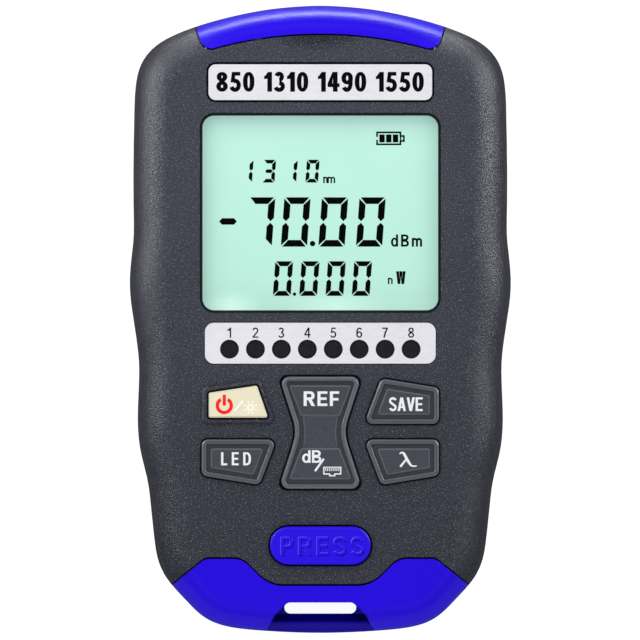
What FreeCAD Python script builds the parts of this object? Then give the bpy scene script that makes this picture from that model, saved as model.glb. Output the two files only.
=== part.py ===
"""Hand-held optical power meter with a docked remote plug tester.

Row frame, millimetres: the meter lies on its back.  +Z is the face normal
(display up), +Y points to the port end, +X to the right of the display.
Origin: centre of the footprint, on the surface it lies on.
"""
import FreeCAD, Part
import math
import os
from FreeCAD import Vector as V

os.makedirs("parts", exist_ok=True)

# ------------------------------------------------------------------ sizes
FACE_Z = 28.0          # flat front face of the casing
SEAM_Z = 12.5          # parting plane between front and rear casing
WALL = 2.0             # casing wall
REAR_R = 5.5           # rear edge rounding
EDGE_IN = 8.0          # how far the front edge rounding runs in
EDGE_H = 8.6           # height of the front edge rounding
SIDE_Z = FACE_Z - EDGE_H

# half outline at the widest section: (half width, y), port end to strap end
HALF = [(0, 60.53), (3.86, 60.38), (7.72, 60.08), (11.58, 59.56),
        (15.44, 58.80), (19.3, 57.88), (23.16, 56.78), (26.19, 55.74),
        (29.72, 54.19), (32.15, 52.65), (33.65, 51.10), (34.63, 49.56),
        (35.25, 48.02), (35.54, 46.47), (35.87, 43.38), (35.95, 40.30),
        (36.04, 35.66), (36.11, 31.03), (36.14, 26.40), (36.11, 21.77),
        (36.05, 18.68), (35.99, 17.14), (36.04, 15.59), (36.22, 14.05),
        (36.63, 10.96), (36.86, 7.87), (36.86, 6.33), (36.65, 3.24),
        (36.13, 0.15), (35.68, -2.93), (35.23, -6.02), (34.97, -9.11),
        (35.02, -11.5), (35.25, -16.83), (35.33, -19.92), (35.15, -23.00),
        (34.70, -26.09), (33.83, -29.18), (33.16, -32.27), (32.82, -35.36),
        (32.52, -38.45), (32.20, -41.53), (31.84, -44.62), (31.58, -46.17),
        (31.12, -47.71), (30.34, -49.25), (29.32, -50.80), (27.91, -52.34),
        (25.00, -55.43), (23.52, -56.97), (21.28, -58.48), (19.3, -59.20),
        (15.44, -59.90), (11.58, -60.24), (7.72, -60.48), (3.86, -60.64),
        (0, -60.70)]
N_RING = 180           # samples round the outline

DISPLAY = (46.1, 38.2, 2.6, 20.5)        # width, height, corner, centre y
PLATE = (43.7, 7.5, 1.7, 45.7)           # name plate
STRIP = (44.5, 7.9, 1.75, -4.6)          # cable-test strip
LED_PITCH, LED_R, LED_Y = 5.0, 1.83, -5.75
GAP = 0.2                                # gap round the display window
KEY_GAP = 0.30                           # gap round keys and button
SEAM = 0.17                              # half the gap at the remote
LAP = 0.8                                # setback of its rear half

KEY_TOP = 29.0
SIDE_KEY_TRAVEL = 0.6
SIDE_KEY = [(-22.84, -23.16), (-8.39, -23.16), (-11.74, -31.90),
            (-22.84, -30.10)]            # lower left key
ROW_MIRROR_Y = -21.65                    # the upper keys mirror the lower ones
HOURGLASS = [(-7.95, -11.05), (7.95, -11.05), (4.48, -21.75), (8.05, -32.65),
             (-8.05, -32.65), (-4.48, -21.75)]
HOUR_R = [1.5, 1.5, 7.8, 1.5, 1.5, 7.8]
ROCK_Y, ROCK_Z = -21.75, 23.0
POWER_PAD = [(-21.5, -18.95), (-10.05, -18.95), (-12.2, -12.75),
             (-21.5, -14.15)]

BUTTON = (19.5, 7.4, -43.6)              # release button length, width, y
BUTTON_TOP = 29.4
BUTTON_TRAVEL = 1.6

HINGE_Y, HINGE_Z, HINGE_R, PIN_R = 53.6, 2.7, 2.2, 1.0
HINGE_EDGE = HINGE_Y - 2.2               # rear edge of the port cover
SWING_R = 3.66                           # room for that edge to swing
COVER_WALL = 1.8
BAY_X = 22.3                             # half width of the port bay
BAY_WALL = 1.8
PANEL_Y = 46.6                           # inner face of the port panel
PORT_Z = 14.5                            # height of the port centres
FIBRE_X, LAMP_X, JACK_X = -13.0, -1.4, 12.4
JACK = (15.6, 12.6, 16.0)                # jack width, height, depth

DOCK_X, DOCK_Z0, DOCK_Z1 = 9.9, 3.4, 19.2
DOCK_END = -22.4                         # inner end of the dock
TONGUE = (9.6, 3.7, 18.6, -23.2)         # half width, low, high, end y

PCB_Z0, PCB_Z1 = 20.8, 22.0
DOOR = (18.4, -20.9, 30.4)               # half width, hinge y, latch y
CELL_R, CELL_L = 5.15, 44.5

# ---------------------------------------------------------------- helpers


def closed(half):
    return ([V(x, y, 0) for x, y in half]
            + [V(-x, y, 0) for x, y in reversed(half[1:-1])])


def base_ring():
    """Evenly spaced outline points and smoothed outward normals."""
    c = Part.BSplineCurve()
    c.interpolate(Points=closed(HALF), PeriodicFlag=True)
    n = N_RING
    p = c.discretize(Number=n + 1)[:-1]
    for _ in range(2):
        p = [p[i - 1] * 0.2 + p[i] * 0.6 + p[(i + 1) % n] * 0.2
             for i in range(n)]
    # exact left-right symmetry
    q = []
    for i in range(n):
        a, b = p[i], p[(-i) % n]
        q.append(V((a.x - b.x) / 2, (a.y + b.y) / 2, 0))
    mid = (max(v.y for v in q) + min(v.y for v in q)) / 2
    p = [V(v.x, v.y - mid, 0) for v in q]
    nor = []
    for i in range(n):
        t = p[(i + 2) % n] - p[i - 2]
        v = V(-t.y, t.x, 0)
        v.normalize()
        nor.append(v)
    for _ in range(4):
        nor = [nor[i - 1] + nor[i] * 2 + nor[(i + 1) % n] for i in range(n)]
        for v in nor:
            v.normalize()
    return p, nor


RING, NORMAL = base_ring()


def edge_scale(pt):
    """The front edge rounding is fuller on the sides than round the strap
    end and the port cover."""
    t = min(1.0, max(0.0, (-44.0 - pt.y) / 12.0))
    t = t * t * (3 - 2 * t)
    u = min(1.0, max(0.0, (pt.y - 54.6) / 4.2))
    u = u * u * (3 - 2 * u)
    return 1.0 - 0.34 * t - 0.42 * u


def ring_wire(inset, z, soft=0.0):
    """Closed spline at height z, the outline brought in by inset; soft is the
    share of the inset that follows edge_scale."""
    pts = []
    for a, nrm in zip(RING, NORMAL):
        k = inset * (1 - soft + soft * edge_scale(a))
        pts.append(V(a.x + nrm.x * k, a.y + nrm.y * k, z))
    c = Part.BSplineCurve()
    prm = [i / N_RING for i in range(N_RING + 1)]
    c.interpolate(Points=pts, PeriodicFlag=True, Parameters=prm)
    return Part.Wire(c.toShape())


# outward or inward: fix the normals' sense so that +k goes inwards
if (RING[0] + NORMAL[0]).y > RING[0].y:
    NORMAL = [v * -1.0 for v in NORMAL]


def skin(t, z_low, z_high, coarse=False):
    """Closed solid t millimetres inside the outer form."""
    lv = []
    r = REAR_R
    steps = 4 if coarse else 7
    for i in range(steps, -1, -1):                 # rear rounding
        a = math.radians(90.0 * i / steps)
        lv.append((0.25 + r * (1 - math.cos(a)), r * (1 - math.sin(a)), 0.0))
    lv.append((0.0, SEAM_Z, 0.0))
    lv.append((0.28, (SEAM_Z + SIDE_Z) / 2, 0.0))
    steps = 5 if coarse else 8
    for i in range(0, steps + 1):
        a = math.radians(90.0 * i / steps)
        d = (EDGE_IN - 0.6) * (1 - math.cos(a)) ** 1.0
        lv.append((0.6 + d, SIDE_Z + EDGE_H * math.sin(a), 1.0))
    wires = []
    zs = [z_low + (z / FACE_Z) * (z_high - z_low) for _, z, _ in lv]
    for (d, _, soft), z in zip(lv, zs):
        wires.append(ring_wire(d + t, z, soft))
    return Part.makeLoft(wires, True, False)


def poly_offset(pts, d):
    """Offsets a polygon outwards by d."""
    n = len(pts)
    area = sum(pts[i][0] * pts[(i + 1) % n][1] - pts[(i + 1) % n][0] * pts[i][1]
               for i in range(n))
    s = 1.0 if area > 0 else -1.0
    lines = []
    for i in range(n):
        (x0, y0), (x1, y1) = pts[i], pts[(i + 1) % n]
        ln = math.hypot(x1 - x0, y1 - y0)
        nx, ny = s * (y1 - y0) / ln, -s * (x1 - x0) / ln
        lines.append((x0 + nx * d, y0 + ny * d, x1 - x0, y1 - y0))
    out = []
    for i in range(n):
        x0, y0, dx0, dy0 = lines[i - 1]
        x1, y1, dx1, dy1 = lines[i]
        den = dx0 * dy1 - dy0 * dx1
        t = ((x1 - x0) * dy1 - (y1 - y0) * dx1) / den
        out.append((x0 + dx0 * t, y0 + dy0 * t))
    return out


def rpoly(pts, radii, z=0.0):
    """Closed wire: polygon with rounded corners."""
    n = len(pts)
    if not isinstance(radii, (list, tuple)):
        radii = [radii] * n
    ends = []
    for i in range(n):
        p = V(pts[i][0], pts[i][1], z)
        a = V(pts[i - 1][0], pts[i - 1][1], z) - p
        b = V(pts[(i + 1) % n][0], pts[(i + 1) % n][1], z) - p
        a.normalize()
        b.normalize()
        r = radii[i]
        ang = a.getAngle(b)
        if r < 1e-6 or abs(ang - math.pi) < 1e-6:
            ends.append((p, None, p))
            continue
        tl = r / math.tan(ang / 2)
        s, e = p + a * tl, p + b * tl
        bis = a + b
        bis.normalize()
        mid = p + bis * (r / math.sin(ang / 2) - r)
        ends.append((s, mid, e))
    edges = []
    for i in range(n):
        s, m, e = ends[i]
        if m is not None:
            edges.append(Part.Arc(s, m, e).toShape())
        nxt = ends[(i + 1) % n][0]
        if e.distanceToPoint(nxt) > 1e-6:
            edges.append(Part.makeLine(e, nxt))
    return Part.Wire(edges)


def prism(wire, z0, z1):
    f = Part.Face(wire)
    dz = z0 - wire.BoundBox.ZMin
    f.translate(V(0, 0, dz))
    return f.extrude(V(0, 0, z1 - z0))


def rrect(w, h, r, cx, cy, z0, z1):
    x, y = w / 2, h / 2
    return prism(rpoly([(cx - x, cy - y), (cx + x, cy - y), (cx + x, cy + y),
                        (cx - x, cy + y)], min(r, x - 1e-3, y - 1e-3)), z0, z1)


def box(x0, x1, y0, y1, z0, z1):
    return Part.makeBox(x1 - x0, y1 - y0, z1 - z0, V(x0, y0, z0))


def cyl(r, p0, p1):
    a, b = V(*p0), V(*p1)
    d = b - a
    return Part.makeCylinder(r, d.Length, a, d)


def cut(base, tools):
    tools = [t for t in tools if t is not None]
    return base.cut(tools) if len(tools) > 1 else base.cut(tools[0])


def join(base, more):
    return base.fuse(more) if more else base


def bevel(solid, size, pick):
    """Chamfers the edges that pick(edge) accepts."""
    e = [x for x in solid.Edges if pick(x)]
    return solid.makeChamfer(size, e) if e else solid


def round_(solid, size, pick):
    e = [x for x in solid.Edges if pick(x)]
    return solid.makeFillet(size, e) if e else solid


def at_z(z, tol=1e-3):
    def ok(e):
        b = e.BoundBox
        return abs(b.ZMin - z) < tol and abs(b.ZMax - z) < tol
    return ok


def save(name, shape):
    solids = [s for s in shape.Solids if s.Volume > 0.01]
    out = solids[0] if len(solids) == 1 else Part.makeCompound(solids)
    if not out.isValid():
        out.fix(1e-4, 1e-4, 1e-3)
    print("%-22s solids %d  valid %s  volume %.1f mm3" % (
        name, len(solids), out.isValid(), sum(s.Volume for s in solids)),
        flush=True)
    out.exportStep("parts/%s.step" % name)
    return out


# ------------------------------------------------------- the outer form
OUTER = skin(0.0, 0.0, FACE_Z)
INNER = skin(WALL, WALL, FACE_Z - WALL, coarse=True)
COVER_IN = skin(1.8, 1.8, FACE_Z - 1.8, coarse=True)

# port cover, seen on the face: slanted ends, arched lower edge
ARC_R = 76.5


def cover_region(grow, z0, z1):
    """Footprint of the port cover; grow > 0 enlarges it."""
    low = 54.95 - grow
    xs, ys = 20.9 + grow * 0.3, 52.05 - grow
    side = [(23.38 + grow, 54.0), (26.15 + grow, 63.0)]
    a, b = V(-xs, ys, 0), V(xs, ys, 0)
    arc = Part.Arc(a, V(0, low, 0), b).toShape()
    corner = []
    for k in (1, -1):
        p0 = V(k * xs, ys, 0)
        p2 = V(k * (side[0][0] + 0.11), side[0][1] + 0.36, 0)
        m = V(k * (22.62 + 0.7 * grow), 52.76 - 0.7 * grow, 0)
        corner.append(Part.Arc(p0, m, p2).toShape())
    c0, c1 = (V(k * side[1][0], side[1][1], 0) for k in (1, -1))
    r1 = Part.makeLine(corner[0].Vertexes[-1].Point, c0)
    r2 = Part.makeLine(c0, c1)
    r3 = Part.makeLine(c1, corner[1].Vertexes[-1].Point)
    w = Part.Wire(Part.__sortEdges__([arc, corner[0], r1, r2, r3, corner[1]]))
    return prism(w, z0, z1)


def remote_plan(shift, drop=0.0):
    """Plan of everything that belongs to the remote's outer shells."""
    p = [(-36, -56.98), (-22.2, -46.0), (-15.05, -46.0), (-9.8, -51.2),
         (9.8, -51.2), (15.05, -46.0), (22.2, -46.0), (36, -56.98),
         (36, -66), (-36, -66)]
    p = [(x, y + shift - drop) for x, y in p]
    r = [0, 2.4, 4.2, 6.6, 6.6, 4.2, 2.4, 0, 0, 0]
    return prism(rpoly(p, r), -5, 40)


def remote_region(shift, split=SEAM_Z):
    """The remote's space, with its joint set back by LAP in the rear half,
    so that the gap doesn't run straight through."""
    up = remote_plan(shift).common(box(-60, 60, -80, 80, split, 50))
    low = remote_plan(shift, LAP).common(box(-60, 60, -80, 80, -20, split))
    return up.fuse(low)


def casing_cavity():
    """Hollow of the casing, closed by an end wall above the remote and by
    the side walls of the port bay."""
    above = [(-40, -54.9), (-22.9, -43.9), (-14.5, -43.9), (-9.3, -49.1),
             (9.3, -49.1), (14.5, -43.9), (22.9, -43.9), (40, -54.9),
             (40, 44.8), (-40, 44.8)]
    r = [0, 2.0, 4.4, 3.0, 3.0, 4.4, 2.0, 0, 0, 0]
    main = INNER.common(prism(rpoly(above, r), -1, 40))
    x = BAY_X + BAY_WALL
    left = INNER.common(box(-40, -x, 44.7, 54.4, -1, 40))
    right = INNER.common(box(x, 40, 44.7, 54.4, -1, 40))
    mid = box(-BAY_X, BAY_X, 44.7, 66, WALL, FACE_Z - WALL)
    return [main, left, right, mid]


def lens_pocket():
    w, h, r, cy = DISPLAY
    return rrect(w + 2 * GAP, h + 2 * GAP, r + GAP, 0, cy, 20, 32)


def key_polys():
    led = SIDE_KEY
    wave = [(-x, y) for x, y in reversed(led)]
    power = [(x, 2 * ROW_MIRROR_Y - y) for x, y in reversed(led)]
    keep = [(-x, y) for x, y in reversed(power)]
    return {"power": power, "save": keep, "led": led, "wavelength": wave}


KEYS = key_polys()
BOSSES = [(-29.6, 36.6), (29.6, 36.6), (-26.2, -37.0), (26.2, -37.0)]
STANDOFFS = [(-28.2, 42.8), (28.2, 42.8), (-27.0, -8.5), (27.0, -8.5),
             (-17.4, -35.1), (17.4, -35.1)]
REMOTE_BOSSES = [(-16.4, -51.4), (16.4, -51.4)]

LIMIT = skin(1.0, 1.0, FACE_Z - 1.0, coarse=True)
UNDER_COVER = skin(COVER_WALL + 0.15, COVER_WALL + 0.15,
                   FACE_Z - COVER_WALL - 0.15, coarse=True)
seam_up = box(-60, 60, -80, 80, SEAM_Z, 50)
seam_down = box(-60, 60, -80, 80, -20, SEAM_Z)
reveal = box(-60, 60, -80, 80, SEAM_Z - 0.16, SEAM_Z + 0.16)
groove = reveal.cut(skin(0.45, 0.45, FACE_Z - 0.45, coarse=True))

walls = [UNDER_COVER.common(box(BAY_X, 40, 40, 70, 0, 40)),
         UNDER_COVER.common(box(-40, -BAY_X, 40, 70, 0, 40))]
over = cover_region(0.17, SEAM_Z, 40).cut(walls)
hollows = casing_cavity()
hollows[3] = hollows[3].fuse(
    box(-BAY_X, BAY_X, HINGE_Y - 2.456, 70, -5, SEAM_Z))
body = cut(OUTER, hollows + [remote_region(SEAM, SEAM_Z - 0.2)])
body = cut(body, [over])
front = cut(body.common(seam_up), [groove])
rear = cut(body.common(seam_down), [groove])
dock_hole = box(-DOCK_X, DOCK_X, -60, -45, DOCK_Z0, DOCK_Z1)

# --------------------------------------------------------- front casing
adds = []
for x, y in BOSSES:
    adds.append(cyl(2.9, (x, y, SEAM_Z + 1.2), (x, y, 26.6)).common(LIMIT))
for x, y in STANDOFFS:
    adds.append(cyl(2.0, (x, y, PCB_Z1), (x, y, 26.6)).common(LIMIT))
adds.append(box(-9.5, 9.5, 50.6, 54.3, 24.6, 26.05))      # behind the notch
# raised rib round the power key
bead = prism(rpoly(KEYS["power"], 1.2), 27.0, 28.85)
adds.append(round_(bead, 0.55, at_z(28.85)))
front = join(front, adds)
tools = [lens_pocket()]
for (w, h, r, cy) in (PLATE, STRIP):
    tools.append(rrect(w + 0.3, h + 0.3, r + 0.15, 0, cy, 27.3, 30))
for i in range(8):
    x = (i - 3.5) * LED_PITCH
    tools.append(cyl(LED_R - 0.25, (x, LED_Y, 24), (x, LED_Y, 28)))
for k in ("save", "led", "wavelength"):
    tools.append(prism(rpoly(poly_offset(KEYS[k], KEY_GAP), 1.2 + KEY_GAP),
                       24, 30))
tools.append(prism(rpoly(poly_offset(POWER_PAD, 0.25), 0.6), 24, 30))
tools.append(prism(rpoly(poly_offset(HOURGLASS, 0.36), HOUR_R), 24, 30))
tools.append(rrect(BUTTON[0] + 2 * KEY_GAP, BUTTON[1] + 2 * KEY_GAP, 9,
                   0, BUTTON[2], 20, 32))
for x, y in BOSSES:
    tools.append(cyl(1.0, (x, y, 0), (x, y, 23.0)))
for x, y in STANDOFFS:
    tools.append(cyl(0.7, (x, y, 20), (x, y, 25.2)))
tools.append(Part.makeSphere(28.0, V(0, 62.2, 55.1)))     # finger notch
tools.append(dock_hole)
front = save("front_casing", cut(front, tools))

# ---------------------------------------------------------- rear casing
adds = [cyl(3.2, (x, y, 0.6), (x, y, SEAM_Z + 1.1)).common(LIMIT)
        for x, y in BOSSES]
rx = DOCK_X + 1.3
for k in (-1, 1):
    a, b = sorted((k * DOCK_X, k * rx))
    adds.append(box(a, b, -49.6, DOCK_END + 0.4, 1.5, SEAM_Z))
    adds.append(box(a, b, -46.7, DOCK_END + 0.4, SEAM_Z, DOCK_Z1))
    a, b = sorted((k * 16.2, k * 17.5))
    adds.append(box(a, b, DOCK_END, 30.2, 1.5, 14.4))
adds.append(box(-rx, rx, -49.6, DOCK_END + 0.4, 1.5, DOCK_Z0))
adds.append(box(-17.5, 17.5, DOCK_END, DOCK_END + 1.3, 1.5, 14.4))
adds.append(box(-rx, rx, DOCK_END, DOCK_END + 1.3, 1.5, DOCK_Z1))
adds.append(box(-17.5, 17.5, 28.9, 30.2, 1.5, 14.4))
adds.append(box(-17.5, 17.5, DOCK_END, 30.2, 13.2, 14.4))
rear = join(rear, adds)
dx, dy0, dy1 = DOOR
DOOR_Z = 1.05
tools = [box(-dx - 0.2, dx + 0.2, dy0 - 1.1, dy1, -1, 2.0),
         box(-16.2, 16.2, dy0 - 0.2, 28.9, 1.0, 13.2),
         box(-4.4, 4.4, 28.0, 30.2, 1.5, 5.0),
         cyl(0.68, (-dx - 1.6, dy0, DOOR_Z), (dx + 1.6, dy0, DOOR_Z)),
         dock_hole,
         cyl(SWING_R, (-BAY_X, HINGE_Y, HINGE_Z), (BAY_X, HINGE_Y, HINGE_Z)),
         cyl(PIN_R + 0.01, (-23.9, HINGE_Y, HINGE_Z),
             (23.9, HINGE_Y, HINGE_Z)),
         Part.makeCylinder(9.0, 14.0, V(-7.0, 33.5, -7.7), V(1, 0, 0))]
for x, y in BOSSES:
    tools.append(cyl(1.35, (x, y, -1), (x, y, 20)))
    tools.append(cyl(2.4, (x, y, -1), (x, y, 3.0)))
rear = save("rear_casing", cut(rear, tools))

# ----------------------------------------------------------- port cover
where = cover_region(-0.12, SEAM_Z, 40).fuse(
    box(-BAY_X + 0.2, BAY_X - 0.2, HINGE_EDGE, 70, -5, SEAM_Z))
shell = OUTER.cut(COVER_IN).common(where)
barrel = cyl(HINGE_R, (-BAY_X + 0.2, HINGE_Y, HINGE_Z),
             (BAY_X - 0.2, HINGE_Y, HINGE_Z))
lid = join(shell, [barrel])
lid = cut(lid, [cyl(PIN_R + 0.05, (-30, HINGE_Y, HINGE_Z),
                    (30, HINGE_Y, HINGE_Z))])
save("port_cover", lid)
save("hinge_pin", cyl(PIN_R, (-23.9, HINGE_Y, HINGE_Z),
                      (23.9, HINGE_Y, HINGE_Z)))


# --------------------------------------------------- screws and springs
def screw(x, y, z_head, length, r, head_r, head_h, up=True):
    """Pan-head screw along Z; z_head is the seat of the head."""
    k = 1 if up else -1
    a = cyl(r, (x, y, z_head), (x, y, z_head + k * length))
    b = cyl(head_r, (x, y, z_head - k * head_h), (x, y, z_head))
    top = z_head - k * head_h
    b = bevel(b, head_h * 0.35, at_z(top))
    d = head_h * 0.6
    z0, z1 = sorted((top - k * 0.1, top + k * d))
    c1 = box(x - head_r * 0.62, x + head_r * 0.62, y - head_r * 0.14,
             y + head_r * 0.14, z0, z1)
    c2 = box(x - head_r * 0.14, x + head_r * 0.14, y - head_r * 0.62,
             y + head_r * 0.62, z0, z1)
    return cut(join(b, [a]), [c1, c2])


def coil(r, wire_r, n, height, x, y, z):
    """Compression spring along Z as n turns, each tied to the next."""
    step = (height - 2 * wire_r) / (n - 1)
    out = [Part.makeTorus(r, wire_r, V(x, y, z + wire_r + i * step))
           for i in range(n)]
    for i in range(n - 1):
        a = math.radians(140.0 * i)
        px, py = x + r * math.cos(a), y + r * math.sin(a)
        z0 = z + wire_r + i * step
        out.append(cyl(wire_r * 0.9, (px, py, z0), (px, py, z0 + step)))
    return out[0].fuse(out[1:])


def rings(r, wire_r, height, origin, k):
    """Close-wound spring along k*Y, as touching turns."""
    n = max(2, int(round((height - 2 * wire_r) / (1.8 * wire_r))) + 1)
    step = (height - 2 * wire_r) / (n - 1)
    turns = [Part.makeTorus(r, wire_r,
                            V(origin[0], origin[1] + k * (wire_r + i * step),
                              origin[2]), V(0, 1, 0)) for i in range(n)]
    return turns[0].fuse(turns[1:])


save("casing_screws", Part.makeCompound(
    [screw(x, y, 3.0, 17.0, 0.95, 2.2, 1.6) for x, y in BOSSES]))

# ---------------------------------------------------------- display area
w, h, r, cy = DISPLAY
lens = rrect(w, h, r, 0, cy, 25.0, 27.85)
lens = bevel(lens, 0.35, at_z(27.85))
lens = join(lens, [rrect(w + 3.0, h + 3.0, r + 0.5, 0, cy, 25.0, 26.0)])
save("display_window", lens)
save("lcd_glass", rrect(47.6, 39.4, 0.5, 0, cy, 23.7, 25.0))
save("lcd_backlight", rrect(45.0, 35.6, 0.6, 0, cy + 1.1, PCB_Z1, 23.7))
save("lcd_connector", box(-20, 20, 1.3, 2.7, PCB_Z1, 23.7))
w, h, r, cy = PLATE
save("name_plate", rrect(w, h, r, 0, cy, 27.3, 27.85))
w, h, r, cy = STRIP
strip = rrect(w, h, r, 0, cy, 27.3, 27.85)
strip = cut(strip, [cyl(LED_R, ((i - 3.5) * LED_PITCH, LED_Y, 27),
                        ((i - 3.5) * LED_PITCH, LED_Y, 29))
                    for i in range(8)])
save("led_strip", strip)
pipes, chips = [], []
for i in range(8):
    x = (i - 3.5) * LED_PITCH
    p = join(cyl(LED_R - 0.30, (x, LED_Y, 24.0), (x, LED_Y, 27.65)),
             [cyl(2.2, (x, LED_Y, 25.2), (x, LED_Y, 26.0))])
    pipes.append(p)
    chips.append(box(x - 1.5, x + 1.5, LED_Y - 0.8, LED_Y + 0.8,
                     PCB_Z1, 23.1))
save("led_windows", Part.makeCompound(pipes))
save("indicator_leds", Part.makeCompound(chips))

# -------------------------------------------------------------- main board
pts = [(-30.6, 44.6), (-30.6, 41.0), (-25.8, 41.0), (-25.8, -6.0),
       (-29.3, -6.0), (-29.3, -11.0), (-22.0, -11.0), (-22.0, -37.6),
       (22.0, -37.6), (22.0, -11.0), (29.3, -11.0), (29.3, -6.0),
       (25.8, -6.0), (25.8, 41.0), (30.6, 41.0), (30.6, 44.6)]
board = prism(rpoly(pts, 0.6), PCB_Z0, PCB_Z1)
board = cut(board, [cyl(0.85, (x, y, 20), (x, y, 23)) for x, y in STANDOFFS])
save("main_board", board)
save("board_screws", Part.makeCompound(
    [screw(x, y, PCB_Z0, 4.0, 0.65, 1.5, 1.1) for x, y in STANDOFFS]))
SWITCHES = [(-17.0, -15.9), (17.0, -15.9), (-17.0, -27.4), (17.0, -27.4),
            (0.0, ROCK_Y + 7.5), (0.0, ROCK_Y - 7.5)]
sw = []
for x, y in SWITCHES:
    sw.append(join(box(x - 2.5, x + 2.5, y - 2.5, y + 2.5, PCB_Z1, 23.2),
                   [cyl(1.3, (x, y, 23.0), (x, y, 23.4))]))
save("tact_switches", Part.makeCompound(sw))


# ------------------------------------------------------------------- keys
def key_cap(outline, radii, pads, flange=(24.8, 25.9), base=None):
    """Key with a rim, a groove and raised pads; pads = [(points, r, top)]."""
    cap = prism(rpoly(outline, radii), flange[1] - 0.2, KEY_TOP)
    cap = bevel(cap, 0.28, at_z(KEY_TOP))
    inner = poly_offset(outline, -0.87)
    rr = radii if isinstance(radii, list) else [radii] * len(outline)
    ri = [max(0.3, q - 0.87) if q < 3 else q + 0.87 for q in rr]
    well = prism(rpoly(inner, ri), 28.5, 30)
    cap = cap.cut(well)
    cap = bevel(cap, 0.2, lambda e: at_z(KEY_TOP)(e) and inside(e, inner))
    more = []
    for pp, pr, top in pads:
        pad = prism(rpoly(pp, pr), 28.3, top)
        more.append(bevel(pad, 0.3, at_z(top)))
    fl = poly_offset(outline, 0.8)
    rf = [q + 0.8 if q < 3 else q - 0.8 for q in rr]
    more.append(prism(rpoly(fl, rf), flange[0], flange[1]))
    return join(cap, more + (base or []))


def inside(e, poly):
    """True when the edge lies on the polygon's extent, to within 0.05."""
    b = e.BoundBox
    xs, ys = [p[0] for p in poly], [p[1] for p in poly]
    return (b.XMin > min(xs) - 0.05 and b.XMax < max(xs) + 0.05
            and b.YMin > min(ys) - 0.05 and b.YMax < max(ys) + 0.05)


for name, node, (sx, sy) in (("save", "save_key", (17.0, -15.9)),
                             ("led", "led_key", (-17.0, -27.4)),
                             ("wavelength", "wavelength_key",
                              (17.0, -27.4))):
    poly = KEYS[name]
    stem = cyl(1.5, (sx, sy, 24.2), (sx, sy, 25.0))
    save(node, key_cap(poly, 1.2,
                       [(poly_offset(poly, -1.7), 0.5, 28.95)],
                       base=[stem]))
pad = prism(rpoly(POWER_PAD, 0.4), 25.5, 29.1)
pad = bevel(pad, 0.3, at_z(29.1))
fl = prism(rpoly(poly_offset(POWER_PAD, 0.8), 1.0), 24.8, 25.9)
save("power_key", join(pad, [fl, cyl(1.5, (-17.0, -15.9, 24.2),
                                     (-17.0, -15.9, 25.0))]))

up_pad = [(-6.05, -12.7), (6.05, -12.7), (3.75, -18.66), (-3.75, -18.66)]
low_pad = [(-3.75, -24.8), (3.75, -24.8), (6.05, -30.85), (-6.05, -30.85)]
web = [(-3.55, -18.4), (3.55, -18.4), (3.05, -21.75), (3.55, -25.1),
       (-3.55, -25.1), (-3.05, -21.75)]
foot = [cyl(1.3, (0, ROCK_Y + k * 7.5, 23.85), (0, ROCK_Y + k * 7.5, 25.0))
        for k in (1, -1)]
foot.append(cyl(0.9, (-3.4, ROCK_Y, ROCK_Z), (3.4, ROCK_Y, ROCK_Z)))
foot.append(box(-3.4, 3.4, ROCK_Y - 0.7, ROCK_Y + 0.7, ROCK_Z, 24.4))
save("ref_db_key", key_cap(HOURGLASS, HOUR_R,
                           [(up_pad, 0.4, 28.95), (low_pad, 0.4, 28.95),
                            (web, [0, 0, 6.0, 0, 0, 6.0], 28.72)],
                           flange=(24.2, 25.2), base=foot))

# ------------------------------------------------------ release button
L, W, by = BUTTON
btn = rrect(L, W, 9, 0, by, 25.6, BUTTON_TOP)
btn = round_(btn, 0.55, at_z(BUTTON_TOP))
btn = join(btn, [rrect(L + 2.0, W + 2.0, 9, 0, by, 24.5, 25.9),
                 cyl(2.2, (0, by, 21.3), (0, by, 24.6))])
save("press_button", btn)
save("press_spring", coil(3.4, 0.3, 4, 24.5 - 20.4, 0, by, 20.4))
roof = prism(rpoly([(-9.0, -48.8), (9.0, -48.8), (13.0, -44.6),
                    (13.0, -21.3), (-13.0, -21.3), (-13.0, -44.6)], 0.6),
             DOCK_Z1, 20.4)
roof = cut(roof, [box(-2.7, 2.7, by - 2.7, by + 2.7, 19, 21)])
save("dock_roof", roof)

# ------------------------------------------------------- battery and door
door = box(-dx, dx, dy0, dy1 - 0.15, 0.1, 1.9)
edge = cyl(0.9, (-dx, dy0, DOOR_Z - 0.05), (dx, dy0, DOOR_Z - 0.05))
stub = cyl(0.6, (-dx - 1.5, dy0, DOOR_Z), (dx + 1.5, dy0, DOOR_Z))
hook = box(-4.0, 4.0, 29.1, 30.1, 1.7, 4.3)
door = join(door, [edge, stub, hook])
slots = [Part.makeCylinder(9.0, 14.0, V(-7.0, 33.5, -7.7), V(1, 0, 0))]
for i in range(5):
    slots.append(box(-6.0, 6.0, 20.0 + 1.6 * i, 20.7 + 1.6 * i, -1, 0.45))
door = cut(door, slots)
save("battery_door", door)

CELL_Z = 7.6
CELL_X = (-10.6, 0.0, 10.6)
cells, plates, springs = [], [], []
for i, x in enumerate(CELL_X):
    k = 1 if i != 1 else -1
    ya, yb = (-16.4, 27.7) if k > 0 else (-19.9, 23.8)
    c = cyl(CELL_R, (x, ya, CELL_Z), (x, yb, CELL_Z))
    c = bevel(c, 0.5, lambda e: e.Curve.TypeId == "Part::GeomCircle")
    tip = (yb, yb + 0.8) if k > 0 else (ya - 0.8, ya)
    cells.append(join(c, [cyl(1.9, (x, tip[0], CELL_Z), (x, tip[1], CELL_Z))]))
    y0 = -20.7 if k > 0 else 28.5
    springs.append(rings(2.6, 0.38, 4.3 if k > 0 else 4.7,
                         (x, y0, CELL_Z), k))
for y0 in (-21.1, 28.5):
    plates.append(box(-15.9, 15.9, y0, y0 + 0.4, 3.2, 12.2))
save("battery_cells", Part.makeCompound(cells))
save("battery_springs", Part.makeCompound(springs))
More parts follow.
